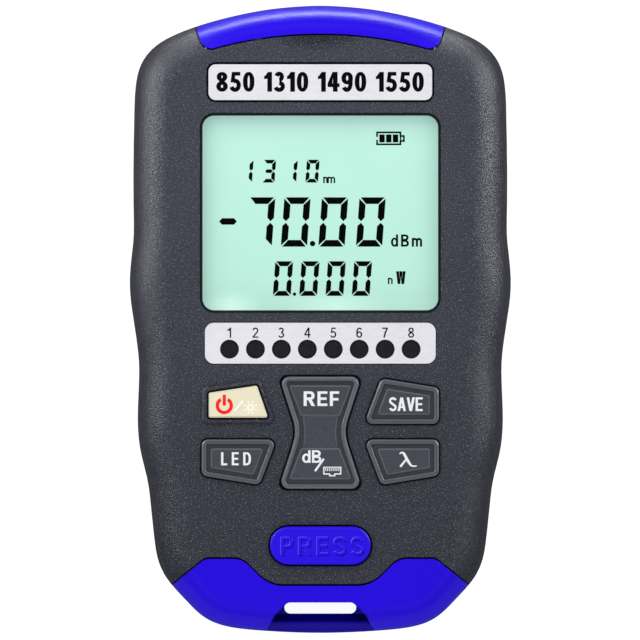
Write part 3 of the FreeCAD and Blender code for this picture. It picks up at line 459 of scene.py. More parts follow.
def glyph(ch, s, b):
    """Shape of a character in a cell of height 1: its width and its parts,
    each an outer loop with any holes.  s is the stem, b the bar."""
    if ch == "E":
        w = 0.60
        return w, [[[(0, 0), (w, 0), (w, b), (s, b), (s, 0.5 - b / 2),
                     (w * 0.93, 0.5 - b / 2), (w * 0.93, 0.5 + b / 2),
                     (s, 0.5 + b / 2), (s, 1 - b), (w, 1 - b), (w, 1),
                     (0, 1)]]]
    if ch == "F":
        w = 0.57
        return w, [[[(0, 0), (s, 0), (s, 0.46 - b / 2),
                     (w * 0.92, 0.46 - b / 2), (w * 0.92, 0.46 + b / 2),
                     (s, 0.46 + b / 2), (s, 1 - b), (w, 1 - b), (w, 1),
                     (0, 1)]]]
    if ch == "L":
        w = 0.54
        return w, [[[(0, 0), (w, 0), (w, b), (s, b), (s, 1), (0, 1)]]]
    if ch == "D":
        w = 0.68
        c = w * 0.42
        return w, [[[(0, 0)] + bulge(c, 0.5, w - c, 0.5, -90, 90) + [(0, 1)],
                    [(s, b)] + bulge(c, 0.5, w - c - s, 0.5 - b, -90, 90)
                    + [(s, 1 - b)]]]
    if ch == "P":
        w = 0.64
        c, y0 = w * 0.52, 0.40
        m, h = (1 + y0) / 2, (1 - y0) / 2
        return w, [[[(0, 0), (s, 0), (s, y0)]
                    + bulge(c, m, w - c, h, -90, 90) + [(0, 1)],
                    [(s, y0 + b)] + bulge(c, m, w - c - s, h - b, -90, 90)
                    + [(s, 1 - b)]]]
    if ch == "R":
        w = 0.69
        c, y0 = w * 0.50, 0.41
        m, h = (1 + y0) / 2, (1 - y0) / 2
        return w, [[[(0, 0), (s, 0), (s, y0), (w * 0.40, y0),
                     (w - s * 1.12, 0), (w, 0), (w * 0.70, y0 + 0.03)]
                    + bulge(c, m, w * 0.96 - c, h, -62, 90) + [(0, 1)],
                    [(s, y0 + b)]
                    + bulge(c, m, w * 0.96 - c - s, h - b, -90, 90)
                    + [(s, 1 - b)]]]
    if ch == "B":
        w = 0.66
        c = w * 0.48
        lo, hi = 0.54, 0.50
        return w, [[[(0, 0)] + bulge(c, lo / 2, w - c, lo / 2, -90, 66)
                    + bulge(c, 1 - hi / 2, w * 0.95 - c, hi / 2, -66, 90)
                    + [(0, 1)],
                    [(s, b)] + bulge(c, (lo + b * 0.1) / 2, w - c - s,
                                     (lo + b * 0.1) / 2 - b, -90, 90)
                    + [(s, lo + b * 0.1 - b)],
                    [(s, 1 - hi - b * 0.1 + b)]
                    + bulge(c, 1 - (hi + b * 0.1) / 2, w * 0.95 - c - s,
                            (hi + b * 0.1) / 2 - b, -90, 90)
                    + [(s, 1 - b)]]]
    if ch == "A":
        w, a, h = 0.72, s * 1.08, s * 0.56
        k = w / 2 - h
        y, t = 0.22, 0.22 + b * 0.92
        top = (w / 2 - a) / k
        return w, [[[(0, 0), (a, 0), (a + k * y, y), (w - a - k * y, y),
                     (w - a, 0), (w, 0), (w / 2 + h, 1), (w / 2 - h, 1)],
                    [(a + k * t, t), (w - a - k * t, t), (w / 2, top)]]]
    if ch == "V":
        w, a, h = 0.70, s * 1.08, s * 0.56
        k = w / 2 - h
        low = 1 - (w / 2 - a) / k
        return w, [[[(0, 1), (a, 1), (w / 2, low), (w - a, 1), (w, 1),
                     (w / 2 + h, 0), (w / 2 - h, 0)]]]
    if ch == "W":
        w, a = 0.86, s * 0.98
        q = w / 4
        return w, [[[(0, 1), (a, 1), (q + a * 0.28, 0.30),
                     (w / 2 - a / 2, 1), (w / 2 + a / 2, 1),
                     (w - q - a * 0.28, 0.30), (w - a, 1), (w, 1),
                     (w - q + a * 0.30, 0), (w - q - a * 0.62, 0),
                     (w / 2, 0.66), (q + a * 0.62, 0),
                     (q - a * 0.30, 0)]]]
    if ch == "S":
        w, r = 0.66, s / 2
        pts = (bulge(w / 2, 0.735, w / 2 - r, 0.265 - b / 2, 14, 205, 0.92)
               + bulge(w / 2, 0.265, w / 2 - r, 0.265 - b / 2, 25, -166,
                       0.92))
        return w, [[stroke(pts, (s + b) / 2)]]
    if ch == "d":
        w, c = 0.60, 0.285
        return w, [[[(w, 0), (w, 1), (w - s, 1), (w - s, 0.66)]
                    + arc(c, 0.365, c, 0.375, 48, 312, 24)
                    + [(w - s, 0.07), (w - s, 0)],
                    arc(c + 0.012, 0.365, c - s * 0.92, 0.375 - b, 0, 345,
                        23)]]
    if ch in "nm":
        w = 0.50 if ch == "n" else 0.86
        h, bow = 0.72, (0.50 - 2 * s) / 2
        step = 0.50 - s if ch == "n" else (0.86 - s) / 2
        bow = (step - s) / 2
        out = [[[(0, 0), (s, 0), (s, h), (0, h)]]]
        for i in range(1 if ch == "n" else 2):
            x = i * step
            cx = x + s + bow
            outer = arc(cx, h - bow - s, bow + s, bow + s, 165, 0, 12)
            inner = arc(cx, h - bow - s, bow, bow, 0, 165, 12)
            out.append([outer + [(x + step + s, 0), (x + step, 0)] + inner])
        return w, out
    if ch == "0":
        w = 0.58
        return w, [[bulge(w / 2, 0.5, w / 2, 0.5, 0, 348, 0.90, 29),
                    bulge(w / 2, 0.5, w / 2 - s, 0.5 - b, 0, 348, 0.90,
                          29)]]
    if ch == "1":
        w = 0.40
        return w, [[[(w - s, 0), (w, 0), (w, 1), (w - s * 0.86, 1),
                     (w - s - 0.05, 0.90), (0.06, 0.80), (0.0, 0.795),
                     (0.0, 0.795 - b * 0.85), (w - s, 0.815 - b * 0.85)]]]
    if ch == "2":
        w, r = 0.58, s / 2
        top = arc(w / 2, 0.715, w / 2 - r, 0.285 - b / 2, 172, -34, 16)
        pts = top + [(0.245, 0.30), (0.125, 0.16), (r * 1.02, b * 0.5)]
        return w, [[stroke(pts, (s + b) / 2)],
                   [[(0, 0), (w, 0), (w, b), (0, b)]]]
    if ch == "3":
        w, r = 0.57, s / 2
        up = arc(w * 0.47, 0.755, w * 0.45 - r, 0.245 - b / 2, 165, -90, 16)
        lo = arc(w * 0.47, 0.270, w * 0.53 - r, 0.270 - b / 2, 90, -165, 16)
        return w, [[stroke(up, (s + b) / 2)], [stroke(lo, (s + b) / 2)]]
    if ch == "4":
        w, x = 0.60, 0.60 - s - 0.10
        y = 0.235
        return w, [[[(x, 0), (x + s, 0), (x + s, y), (w, y), (w, y + b),
                     (x + s, y + b), (x + s, 1), (x - s * 0.10, 1),
                     (0, y + b), (0, y), (x, y)],
                    [(s * 0.98, y + b), (x, y + b), (x, 0.74)]]]
    if ch == "5":
        w, r = 0.58, s / 2
        lo = arc(w * 0.47, 0.325, w * 0.53 - r, 0.325 - b / 2, 128, -160, 20)
        return w, [[stroke(lo, (s + b) / 2)],
                   [[(0.045, 0.46), (0.05 + s * 0.85, 0.50),
                     (0.10 + s * 0.80, 1 - b), (w * 0.93, 1 - b),
                     (w * 0.93, 1), (0.115, 1)]]]
    if ch in "69":
        w, r = 0.58, s / 2
        ring_ = [bulge(w / 2, 0.315, w / 2, 0.315, 0, 348, 0.95, 29),
                 bulge(w / 2, 0.315, w / 2 - s, 0.315 - b, 0, 348, 0.95,
                       29)]
        hook = stroke([(r, 0.30), (r * 1.0, 0.42)]
                      + bulge(w * 0.53, 0.555, w * 0.53 - r, 0.445 - b / 2,
                              172, 38, 0.95, 14), (s + b) / 2)
        parts = [ring_, [hook]]
        if ch == "9":
            parts = [[[(w - x, 1 - y) for x, y in lp] for lp in part]
                     for part in parts]
        return w, parts
    if ch == "7":
        w = 0.56
        return w, [[[(0, 1), (0, 1 - b), (w - s * 1.15, 1 - b),
                     (w * 0.42, 0.55), (w * 0.20, 0), (w * 0.20 + s, 0),
                     (w * 0.46 + s * 0.9, 0.50), (w, 1 - b * 0.9),
                     (w, 1)]]]
    if ch == "8":
        w = 0.58
        return w, [[arc(w / 2, 0.272, w / 2, 0.272, 62, -242, 30)
                    + arc(w / 2, 0.752, w / 2 - 0.022, 0.248, 242, -62, 30),
                    arc(w / 2, 0.275, w / 2 - s, 0.275 - b, 0, 345, 23),
                    arc(w / 2, 0.752, w / 2 - 0.022 - s, 0.248 - b * 0.96,
                        0, 345, 23)]]
    raise ValueError(ch)


def word(name, text, place, z0, z1, body, mat, slot, stem=0.2, bar=0.17,
         widen=1.0, blank=0.42, edge=0.0):
    """Row of characters filling place = (x0, x1, y0, y1) millimetres; the
    gaps take up what the characters leave."""
    x0, x1, y0, y1 = place
    h = y1 - y0
    cells = [None if c == " " else glyph(c, stem / widen, bar) for c in text]
    used = sum(blank if c is None else c[0] * widen for c in cells) * h
    gap = (x1 - x0 - used) / max(1, len(text) - 1)
    bm = bmesh.new()
    x = x0
    for c in cells:
        if c is None:
            x += blank * h + gap
            continue
        for k, loops in enumerate(c[1]):
            solid(bm, [[(x + px * widen * h, y0 + py * h) for px, py in lp]
                       for lp in loops], z0, z1 - 0.003 * k, edge)
        x += c[0] * widen * h + gap
    return add_mesh(name, bm, body, mat)


def lathe(bm, profile, axis_x, axis_z, n=48, close=True):
    """Turns profile [(r, y)] about the line x = axis_x, z = axis_z."""
    rings_ = []
    for r, y in profile:
        rings_.append([bm.verts.new(((axis_x + r * math.cos(a)) * MM, y * MM,
                                     (axis_z + r * math.sin(a)) * MM))
                       for a in (2 * math.pi * i / n for i in range(n))])
    m = len(rings_)
    for j in range(m if close else m - 1):
        a, b = rings_[j], rings_[(j + 1) % m]
        for i in range(n):
            k = (i + 1) % n
            bm.faces.new((a[i], a[k], b[k], b[i]))
    return bm


# -------------------------------------------------------------- materials
# light specks painted in as glints off the casing's grain
PAINTED_GLINT = rgb(128, 129, 136)
# the casing's colour carries painted shade towards the low end and in the
# finger notch, and painted glints in its light specks
M_CASE = moulded("casing_grain", GREY, rough=0.35, grain=0.28, depth=0.15,
                 vary=0.33, glint=PAINTED_GLINT, glint_at=0.625, glint_k=0.6,
                 level=0.16, painted_low_shade=0.66, painted_notch_shade=0.26)
M_REAR = moulded("rear_grain", shade(GREY, 0.96), rough=0.35, grain=0.28,
                 depth=0.15, vary=0.33, glint=PAINTED_GLINT, glint_at=0.625,
                 glint_k=0.6, level=0.16)
# the blue carries painted shade towards the low end
M_BLUE = moulded("blue_shell", BLUE, rough=0.34, grain=0.28, depth=0.016,
                 vary=0.16, tone=0.02, level=0.07, painted_low_shade=0.92)
# painted shade: darker blue for the strap recess
M_BLUE_RECESS_SHADE = moulded("blue_recess_painted_shade", shade(BLUE, 0.42), rough=0.36,
                      grain=0.28, depth=0.014, vary=0.10, tone=0.02,
                      level=0.10)
M_SHADE = moulded("shaded_flange", rgb(20, 20, 23), rough=0.6, grain=0.3,
                  depth=0.006, vary=0.10, level=0.1)
M_BLUE_BTN = moulded("blue_button", shade(BLUE, 0.98), rough=0.38,
                     grain=0.30, depth=0.004, vary=0.05, tone=0.02,
                     level=0.12, soft=0.05)
M_KEY = moulded("key_pad", GREY_KEY, rough=0.50, grain=0.28, depth=0.010,
                vary=0.14, soft=0.06, level=0.16)
# lit and shaded copies of the key material: painted highlight on the rim and
# eased edges, painted shade in the groove
M_RIM_HIGHLIGHT = moulded("key_rim_painted_highlight", GREY_RIM_HIGHLIGHT, rough=0.42, grain=0.28, depth=0.006,
                vary=0.10, soft=0.08, level=0.2)
M_EDGE_HIGHLIGHT = moulded("key_edge_painted_highlight", rgb(100, 103, 110), rough=0.42, grain=0.28,
                 depth=0.004, vary=0.10, soft=0.05, level=0.2)
M_GROOVE_SHADE = moulded("key_groove_painted_shade", rgb(57, 59, 65), rough=0.55, grain=0.26,
                   depth=0.006, vary=0.10, soft=0.06, level=0.12)
M_CREAM = moulded("cream_key", CREAM, rough=0.45, grain=0.3, depth=0.006,
                  vary=0.03, tone=0.02, level=0.2)
M_DARK = moulded("dark_plastic", rgb(40, 41, 46), rough=0.45, depth=0.01)
M_JACK = moulded("jack_plastic", rgb(24, 24, 27), rough=0.32, grain=0.5,
                 depth=0.004, vary=0.05)
M_RUBBER = moulded("zebra_strip", rgb(120, 118, 122), rough=0.6, depth=0.01)
M_WHITE_PLASTIC = moulded("light_guide", rgb(238, 240, 240), rough=0.35,
                          depth=0.003, vary=0.02)
M_PRINT_W = ink("white_print", WHITE_INK)
M_PRINT_K = ink("black_print", rgb(3, 3, 4), rough=0.5, level=0.05)
M_SEG = ink("segment_ink", rgb(5, 6, 7), rough=0.6, level=0.0)
M_PRINT_R = ink("red_print", rgb(250, 10, 14))
M_PRINT_C = ink("pale_print", rgb(252, 250, 240))
M_STEEL = metal("bright_steel", rgb(196, 196, 198), rough=0.30)
M_SCREW = metal("black_zinc", rgb(92, 92, 96), rough=0.38)
M_GOLD = metal("gold_plate", rgb(226, 182, 96), rough=0.22)
M_NICKEL = metal("nickel", rgb(198, 194, 184), rough=0.24,
                 brushed=(1, 0.15, 1))
M_CHROME = metal("bright_bezel", rgb(206, 207, 210), rough=0.16)
M_BOARD = board("solder_mask")


def plate_material():
    """Silver-white printed film: faint brushed mottle, satin."""
    m = Mat("silver_film")
    n = m.noise(0.5, 3.0, 0.6, stretch=(0.25, 1.0, 1.0))
    slow = m.noise(9.0, 2.0)
    c = m.mix(m.span(n, 0.3, 0.7), rgb(216, 215, 221), rgb(226, 225, 231))
    c = m.mix(m.span(slow, 0.35, 0.65, 0.0, 0.5), c, rgb(229, 228, 234))
    m.put("Base Color", c)
    m.put("Roughness", m.span(n, 0.3, 0.7, 0.36, 0.46))
    m.bump(n, 0.003, 0.08)
    return m.m


def lcd_material():
    """Mint reflective display lit softly from behind, brighter along its
    lower edge where the lamps sit."""
    m = Mat("display_mint")
    x, y = m.axis("X"), m.axis("Y")
    n = m.noise(7.0, 2.0)
    grad = m.span(y, 0.0015, 0.0395)
    c = m.mix(grad, rgb(155, 196, 181), rgb(160, 201, 188))
    c = m.mix(m.span(n, 0.3, 0.7, 0.0, 0.2), c, rgb(152, 194, 180))
    glow = m.span(y, 0.0010, 0.0046, 0.42, 0.0)
    for cx, half, k in ((-0.0172, 0.0060, 0.75), (0.0030, 0.0105, 0.6)):
        d = m.maths("ABSOLUTE", m.maths("SUBTRACT", x, cx))
        near = m.maths("MULTIPLY", m.span(d, 0.0, half, k, 0.0),
                       m.span(y, 0.0010, 0.0056, 1.0, 0.0))
        glow = m.maths("ADD", glow, near)
    c = m.mix(m.maths("MULTIPLY", glow, 0.75), c, rgb(214, 250, 236))
    m.put("Base Color", c)
    m.put("Roughness", m.span(n, 0.3, 0.7, 0.5, 0.6))
    m.put("Specular IOR Level", 0.1)
    m.put("Emission Color", c)
    m.put("Emission Strength", 0.56)
    return m.m


def window_material(name, alpha, col):
    m = Mat(name)
    n = m.noise(30.0, 1.0)
    m.put("Base Color", m.mix(m.span(n, 0.3, 0.7), shade(col, 0.96), col))
    m.put("Roughness", m.span(n, 0.3, 0.7, 0.06, 0.09))
    m.put("Alpha", alpha)
    m.put("Specular IOR Level", 0.15)
    m.m.surface_render_method = "BLENDED"
    return m.m


def smoked_material():
    """Dark smoked light pipe."""
    m = Mat("smoked_pipe")
    n = m.noise(0.8, 2.0)
    m.put("Base Color", m.mix(m.span(n, 0.3, 0.7), rgb(24, 23, 28),
                              rgb(31, 31, 36)))
    m.put("Roughness", m.span(n, 0.3, 0.7, 0.34, 0.42))
    m.put("Specular IOR Level", 0.12)
    m.bump(n, 0.004, 0.15)
    return m.m


def cell_material():
    """Dry cell jacket: dark body, copper-toned end, bare metal caps."""
    m = Mat("cell_jacket")
    y, x = m.axis("Y"), m.axis("X")
    # the middle cell lies the other way round
    side = m.maths("LESS_THAN", m.maths("ABSOLUTE", x), 0.0053)
    flip = m.span(side, 0.0, 1.0, 1.0, -1.0)
    along = m.maths("MULTIPLY", m.maths("SUBTRACT", y, 0.0048), flip)
    band = m.maths("GREATER_THAN", along, 0.0105)
    n = m.noise(1.2, 2.0)
    dark = m.mix(m.span(n, 0.3, 0.7), rgb(30, 34, 40), rgb(38, 42, 50))
    c = m.mix(band, dark, rgb(196, 122, 62))
    end = m.maths("GREATER_THAN",
                  m.maths("ABSOLUTE", m.maths("SUBTRACT", y, 0.0042)),
                  0.0216)
    c = m.mix(end, c, rgb(196, 196, 198))
    m.put("Base Color", c)
    m.put("Metallic", m.span(end, 0.0, 1.0, 0.25, 1.0))
    m.put("Roughness", m.span(n, 0.3, 0.7, 0.24, 0.32))
    m.bump(n, 0.003)
    return m.m


def clear_material(name, col, alpha):
    m = Mat(name)
    n = m.noise(2.0, 2.0)
    m.put("Base Color", m.mix(m.span(n, 0.3, 0.7), shade(col, 0.94), col))
    m.put("Roughness", m.span(n, 0.3, 0.7, 0.05, 0.1))
    m.put("Alpha", alpha)
    m.m.surface_render_method = "BLENDED"
    return m.m


M_PLATE = plate_material()
M_LCD = lcd_material()
M_SMOKE = smoked_material()
M_CELL = cell_material()
M_WINDOW = window_material("window_clear", 0.02, rgb(52, 60, 58))
M_WINDOW_EDGE_SHADE = window_material("window_edge_painted_shade", 0.98, rgb(22, 25, 27))
M_TORCH = clear_material("torch_lens", rgb(244, 246, 250), 0.55)
M_CERAMIC = moulded("zirconia", rgb(238, 236, 228), rough=0.2, grain=0.6,
                    depth=0.002, vary=0.02)
M_CHIP = moulded("led_chip", rgb(228, 222, 176), rough=0.3, grain=0.5,
                 depth=0.003, vary=0.04)
M_DIODE = moulded("diode_glass", rgb(196, 104, 60), rough=0.15, grain=0.5,
                  depth=0.002, vary=0.1)
M_LCD_GLASS = moulded("lcd_sandwich", rgb(150, 196, 180), rough=0.2,
                      grain=2.0, depth=0.002, vary=0.03)

PLAIN = {
    "front_casing": M_CASE, "rear_casing": M_REAR, "port_cover": M_BLUE,
    "hinge_pin": M_STEEL, "casing_screws": M_SCREW,
    "lcd_glass": M_LCD_GLASS, "lcd_backlight": M_WHITE_PLASTIC,
    "lcd_connector": M_RUBBER, "name_plate": M_PLATE, "led_strip": M_PLATE,
    "led_windows": M_SMOKE, "indicator_leds": M_CHIP, "main_board": M_BOARD,
    "board_screws": M_STEEL, "tact_switches": M_DARK, "power_key": M_CREAM,
    "press_button": M_BLUE_BTN, "press_spring": M_STEEL,
    "dock_roof": M_DARK, "battery_door": M_REAR, "battery_cells": M_CELL,
    "battery_springs": M_STEEL, "battery_plates": M_STEEL,
    "rj45_jack": M_JACK, "rj45_contacts": M_GOLD, "port_panel": M_DARK,
    "optical_adapter": M_NICKEL, "ferrule_sleeve": M_CERAMIC,
    "adapter_screws": M_STEEL, "photodetector": M_GOLD,
    "torch_led": M_TORCH, "torch_bezel": M_CHROME,
    "remote_front_shell": M_BLUE, "remote_rear_shell": M_BLUE,
    "remote_jack": M_JACK, "remote_contacts": M_GOLD,
    "remote_board": M_BOARD, "remote_diodes": M_DIODE,
    "remote_screws": M_SCREW,
}
for node, mat in PLAIN.items():
    o = NODES[node]
    o.data.materials.clear()
    o.data.materials.append(mat)

# ------------------------------------------------ keys: rim and pad zones; the lighter rim and eased edges are painted highlight, the darker groove painted shade
SIDE_KEY = [(-22.84, -23.16), (-8.39, -23.16), (-11.74, -31.90),
            (-22.84, -30.10)]
SAVE_POLY = [(-x, 2 * -21.65 - y) for x, y in SIDE_KEY]
WAVE_POLY = [(-x, y) for x, y in SIDE_KEY]
HOURGLASS = [(-7.95, -11.05), (7.95, -11.05), (4.48, -21.75), (8.05, -32.65),
             (-8.05, -32.65), (-4.48, -21.75)]
for node, poly in (("led_key", SIDE_KEY), ("save_key", SAVE_POLY),
                   ("wavelength_key", WAVE_POLY), ("ref_db_key", HOURGLASS)):
    o = NODES[node]
    o.data.materials.clear()
    # slots: pad, rim (painted highlight), groove (painted shade), eased edges
    # (painted highlight)
    for m in (M_KEY, M_RIM_HIGHLIGHT, M_GROOVE_SHADE, M_EDGE_HIGHLIGHT):
        o.data.materials.append(m)
    core = poly_offset(poly, -1.07)
    for p in o.data.polygons:
        c = p.center
        if abs(c.z / MM - 28.5) < 0.012 and abs(p.normal.z) > 0.9:
            p.material_index = 2
        elif c.z > 0.02855 and 0.3 < p.normal.z < 0.93:
            p.material_index = 3
        elif c.z > 0.02851 and not within(c.x / MM, c.y / MM, core):
            p.material_index = 1

# painted shade: the flanges down in the gaps are coloured near-black
for node, low in (("power_key", 27.6), ("press_button", 27.6)):
    o = NODES[node]
    o.data.materials.append(M_SHADE)
    for p in o.data.polygons:
        if p.center.z < low * MM:
            p.material_index = 1

# strap recess and its bar: painted shade, a darker blue where the recess lies
# in shadow
o = NODES["remote_front_shell"]
o.data.materials.append(M_BLUE_RECESS_SHADE)
RECESS = [(-11.4, -60.2), (-10.3, -58.9), (-8.5, -56.8), (-6.3, -54.66),
          (6.3, -54.66), (8.5, -56.8), (10.3, -58.9), (11.4, -60.2),
          (11.4, -62.5), (-11.4, -62.5)]
for p in o.data.polygons:
    c = p.center
    if (within(c.x / MM, c.y / MM, RECESS)
            and (c.z < 0.0164 or abs(p.normal.z) < 0.12) and c.z > 0.0126):
        p.material_index = 1

# window: painted shade, its sides and eased edge dark and nearly opaque as the
# gap round it lies in shadow; only their gloss catches the light
o = NODES["display_window"]
o.data.materials.clear()
o.data.materials.append(M_WINDOW)
o.data.materials.append(M_WINDOW_EDGE_SHADE)
for p in o.data.polygons:
    if 0.0255 < p.center.z < 0.02784:
        p.material_index = 1

# ------------------------------------------------------- display contents
bm = bmesh.new()
slab(bm, rect(-23.4, 23.4, 1.1, 39.9, 0.5), 25.02, 25.06)
add_mesh("lcd_face", bm, "casing", M_LCD)

Z_SEG = (25.07, 25.10)
SLANT = math.tan(math.radians(4.2))


def segments(w, h, t, g):
    """Seven segment outlines in an upright w x h cell."""
    m = h / 2
    k = t * 0.5
    return {
        "a": [(g, h), (w - g, h), (w - t - g * 0.2, h - t),
              (t + g * 0.2, h - t)],
        "b": [(w, h - g), (w, m + k + g * 0.5), (w - k, m + g * 0.6),
              (w - t, m + k + g), (w - t, h - t - g * 0.8)],
        "c": [(w, g), (w, m - k - g * 0.5), (w - k, m - g * 0.6),
              (w - t, m - k - g), (w - t, t + g * 0.8)],
        "d": [(g, 0), (w - g, 0), (w - t - g * 0.2, t), (t + g * 0.2, t)],
        "e": [(0, g), (0, m - k - g * 0.5), (k, m - g * 0.6),
              (t, m - k - g), (t, t + g * 0.8)],
        "f": [(0, h - g), (0, m + k + g * 0.5), (k, m + g * 0.6),
              (t, m + k + g), (t, h - t - g * 0.8)],
        "g": [(k + g * 0.9, m), (t + g * 0.6, m + k), (w - t - g * 0.6, m + k),
              (w - k - g * 0.9, m), (w - t - g * 0.6, m - k),
              (t + g * 0.6, m - k)],
    }


DIGIT = {"0": "abcdef", "1": "bc", "3": "abgcd", "7": "abc"}


def put_digit(bm, ch, x, y, w, h, t, g):
    seg = segments(w, h, t, g)
    for s in DIGIT[ch]:
        slab(bm, [(x + px + py * SLANT, y + py) for px, py in seg[s]],
             *Z_SEG)


def disc(x, y, r, n=28):
    return [(x + r * math.cos(2 * math.pi * i / n),
             y + r * math.sin(2 * math.pi * i / n)) for i in range(n)]


bm = bmesh.new()
# main reading
W, H, T, G = 5.06, 9.50, 1.27, 0.24
for ch, x in (("7", -14.42), ("0", -7.62), ("0", -0.38), ("0", 6.86)):
    put_digit(bm, ch, x, 14.02, W, H, T, G)
slab(bm, disc(-1.50, 14.60, 0.52), *Z_SEG)
slab(bm, [(-19.52, 18.88), (-18.95, 19.49), (-16.65, 19.49),
          (-16.08, 18.88), (-16.65, 18.26), (-18.95, 18.26)], *Z_SEG)
# second reading
W, H, T, G = 3.44, 6.66, 0.94, 0.18
for x in (-9.16, -4.08, 0.99, 6.06):
    put_digit(bm, "0", x, 4.53, W, H, T, G)
slab(bm, disc(-4.98, 4.86, 0.33), *Z_SEG)
# wavelength
W, H, T, G = 2.44, 4.38, 0.70, 0.15
for ch, x in (("1", -15.62), ("3", -11.28), ("1", -7.10), ("0", -2.89)):
    put_digit(bm, ch, x, 26.38, W, H, T, G)
# battery symbol
t = 0.33
slab(bm, [(10.78, 35.18), (10.78, 36.21), (15.61, 36.21), (15.61, 35.51),
          (16.28, 35.51), (16.28, 34.22), (15.61, 34.22), (15.61, 33.58),
          (10.78, 33.58), (10.78, 34.60), (10.78 + t, 34.60),
          (10.78 + t, 33.58 + t), (15.61 - t, 33.58 + t),
          (15.61 - t, 34.22 + t), (16.28 - t, 34.22 + t),
          (16.28 - t, 35.51 - t), (15.61 - t, 35.51 - t),
          (15.61 - t, 36.21 - t), (10.78 + t, 36.21 - t),
          (10.78 + t, 35.18)], *Z_SEG)
slab(bm, rect(15.35, 15.61, 34.22, 35.51), *Z_SEG)
for x in (11.38, 12.68, 13.98):
    slab(bm, rect(x, x + 1.04, 34.12, 35.64), *Z_SEG)
add_mesh("lcd_segments", bm, "casing", M_SEG)
word("lcd_unit_nm", "nm", (0.56, 2.86, 26.26, 27.96), *Z_SEG, "casing", M_SEG,
     "lcd_glass", stem=0.17, bar=0.16, widen=1.02)
word("lcd_unit_dbm", "dBm", (13.62, 19.62, 14.02, 16.36), *Z_SEG, "casing",
     M_SEG, "lcd_glass", stem=0.175, bar=0.155, widen=0.98)
word("lcd_unit_n", "n", (13.03, 13.95, 6.80, 8.48), *Z_SEG, "casing", M_SEG,
     "lcd_glass", stem=0.17, bar=0.16, widen=1.1)
word("lcd_unit_w", "W", (14.62, 16.45, 6.80, 9.27), *Z_SEG, "casing", M_SEG,
     "lcd_glass", stem=0.23, bar=0.17, widen=0.86)

# ----------------------------------------------------------- the two films
Z_FILM = (27.83, 27.87)
word("scale_numbers", "850 1310 1490 1550", (-20.05, 19.95, 43.86, 47.68),
     *Z_FILM, "casing", M_PRINT_K, "name_plate", stem=0.235, bar=0.19,
     widen=1.0, blank=0.30)


def frame_line(name, w, h, r, cy, line):
    bm = bmesh.new()
    outer = rect(-w / 2, w / 2, cy - h / 2, cy + h / 2, r)
    inner = rect(-w / 2 + line, w / 2 - line, cy - h / 2 + line,
                 cy + h / 2 - line, r - line)
    slab(bm, outer, *Z_FILM, holes=inner)
    return add_mesh(name, bm, "casing", M_PRINT_K)


frame_line("plate_border", 43.70, 7.50, 1.68, 45.7, 0.30)
for i in range(8):
    cx = (i - 3.5) * 5.0
    wd = 0.74 if i == 0 else 1.14
    dx = -0.10 if i == 0 else 0.0
    word("port_number_%d" % (i + 1), str(i + 1),
         (cx + dx - wd / 2, cx + dx + wd / 2, -3.55, -1.59), *Z_FILM,
         "casing", M_PRINT_K, "led_strip", stem=0.138, bar=0.125)

# ---------------------------------------------------------------- legends
ZK = (28.93, 28.985)
word("legend_ref", "REF", (-3.21, 3.64, -16.70, -13.87), *ZK, "rocker",
     M_PRINT_W, "ref_db_key", stem=0.21, bar=0.17, widen=1.12)
word("legend_db", "dB", (-3.50, 0.17, -27.64, -25.23), *ZK, "rocker",
     M_PRINT_W, "ref_db_key", stem=0.19, bar=0.155, widen=1.12)
word("legend_save", "SAVE", (13.23, 19.72, -17.67, -15.03), *ZK, "save",
     M_PRINT_W, "save_key", stem=0.17, bar=0.145, widen=0.86)
word("legend_led", "LED", (-19.12, -13.36, -28.12, -25.61), *ZK, "lamp",
     M_PRINT_W, "led_key", stem=0.175, bar=0.15, widen=0.88)
bm = bmesh.new()
slab(bm, stroke([(-1.02, -29.25), (0.66, -26.88)], 0.40), *ZK)
# small socket symbol: frame, catch and eight contacts
x0, x1, y0, y1, t = 0.55, 4.05, -30.25, -28.40, 0.24
mid = (x0 + x1) / 2
slab(bm, [(x0, y0 + 0.34), (x0, y1), (x1, y1), (x1, y0 + 0.34),
          (mid + 0.62, y0 + 0.34), (mid + 0.62, y0), (mid - 0.62, y0),
          (mid - 0.62, y0 + 0.34)], *ZK,
     holes=[(x0 + t, y0 + 0.34 + t), (x0 + t, y1 - t), (x1 - t, y1 - t),
            (x1 - t, y0 + 0.34 + t), (mid + 0.62 - t, y0 + 0.34 + t),
            (mid + 0.62 - t, y0 + t), (mid - 0.62 + t, y0 + t),
            (mid - 0.62 + t, y0 + 0.34 + t)])
for i in range(8):
    cx = mid + (i - 3.5) * 0.36
    slab(bm, rect(cx - 0.085, cx + 0.085, y1 - 0.82, y1 - 0.12), *ZK)
add_mesh("legend_socket", bm, "rocker", M_PRINT_W)

# wavelength sign: a hooked main stroke and a thin leg
bm = bmesh.new()
main = [(15.30, -25.98), (15.46, -25.74), (15.72, -25.66), (15.98, -25.74),
        (16.20, -26.02), (16.55, -26.68), (17.02, -27.52), (17.40, -28.05),
        (17.72, -28.27), (18.08, -28.31), (18.58, -28.22)]
slab(bm, stroke(main, [0.22, 0.26, 0.30, 0.42, 0.50, 0.52, 0.50, 0.40, 0.30,
                       0.26, 0.24]), *ZK)
slab(bm, stroke([(16.62, -26.90), (15.42, -28.40)], [0.34, 0.44]),
     ZK[0], ZK[1] - 0.004)
add_mesh("legend_wavelength", bm, "wavelength", M_PRINT_W)

# painted shade: a dark ring on the bead round the power key, widening the
# gap's shadow
POWER_PAD = [(-21.5, -18.95), (-10.05, -18.95), (-12.2, -12.75),
             (-21.5, -14.15)]
bm = bmesh.new()
slab(bm, rounded(poly_offset(POWER_PAD, 0.43), 0.8), 28.80, 28.862,
     holes=rounded(poly_offset(POWER_PAD, 0.22), 0.6))
add_mesh("power_gap_painted_shade", bm, "casing", M_SHADE)

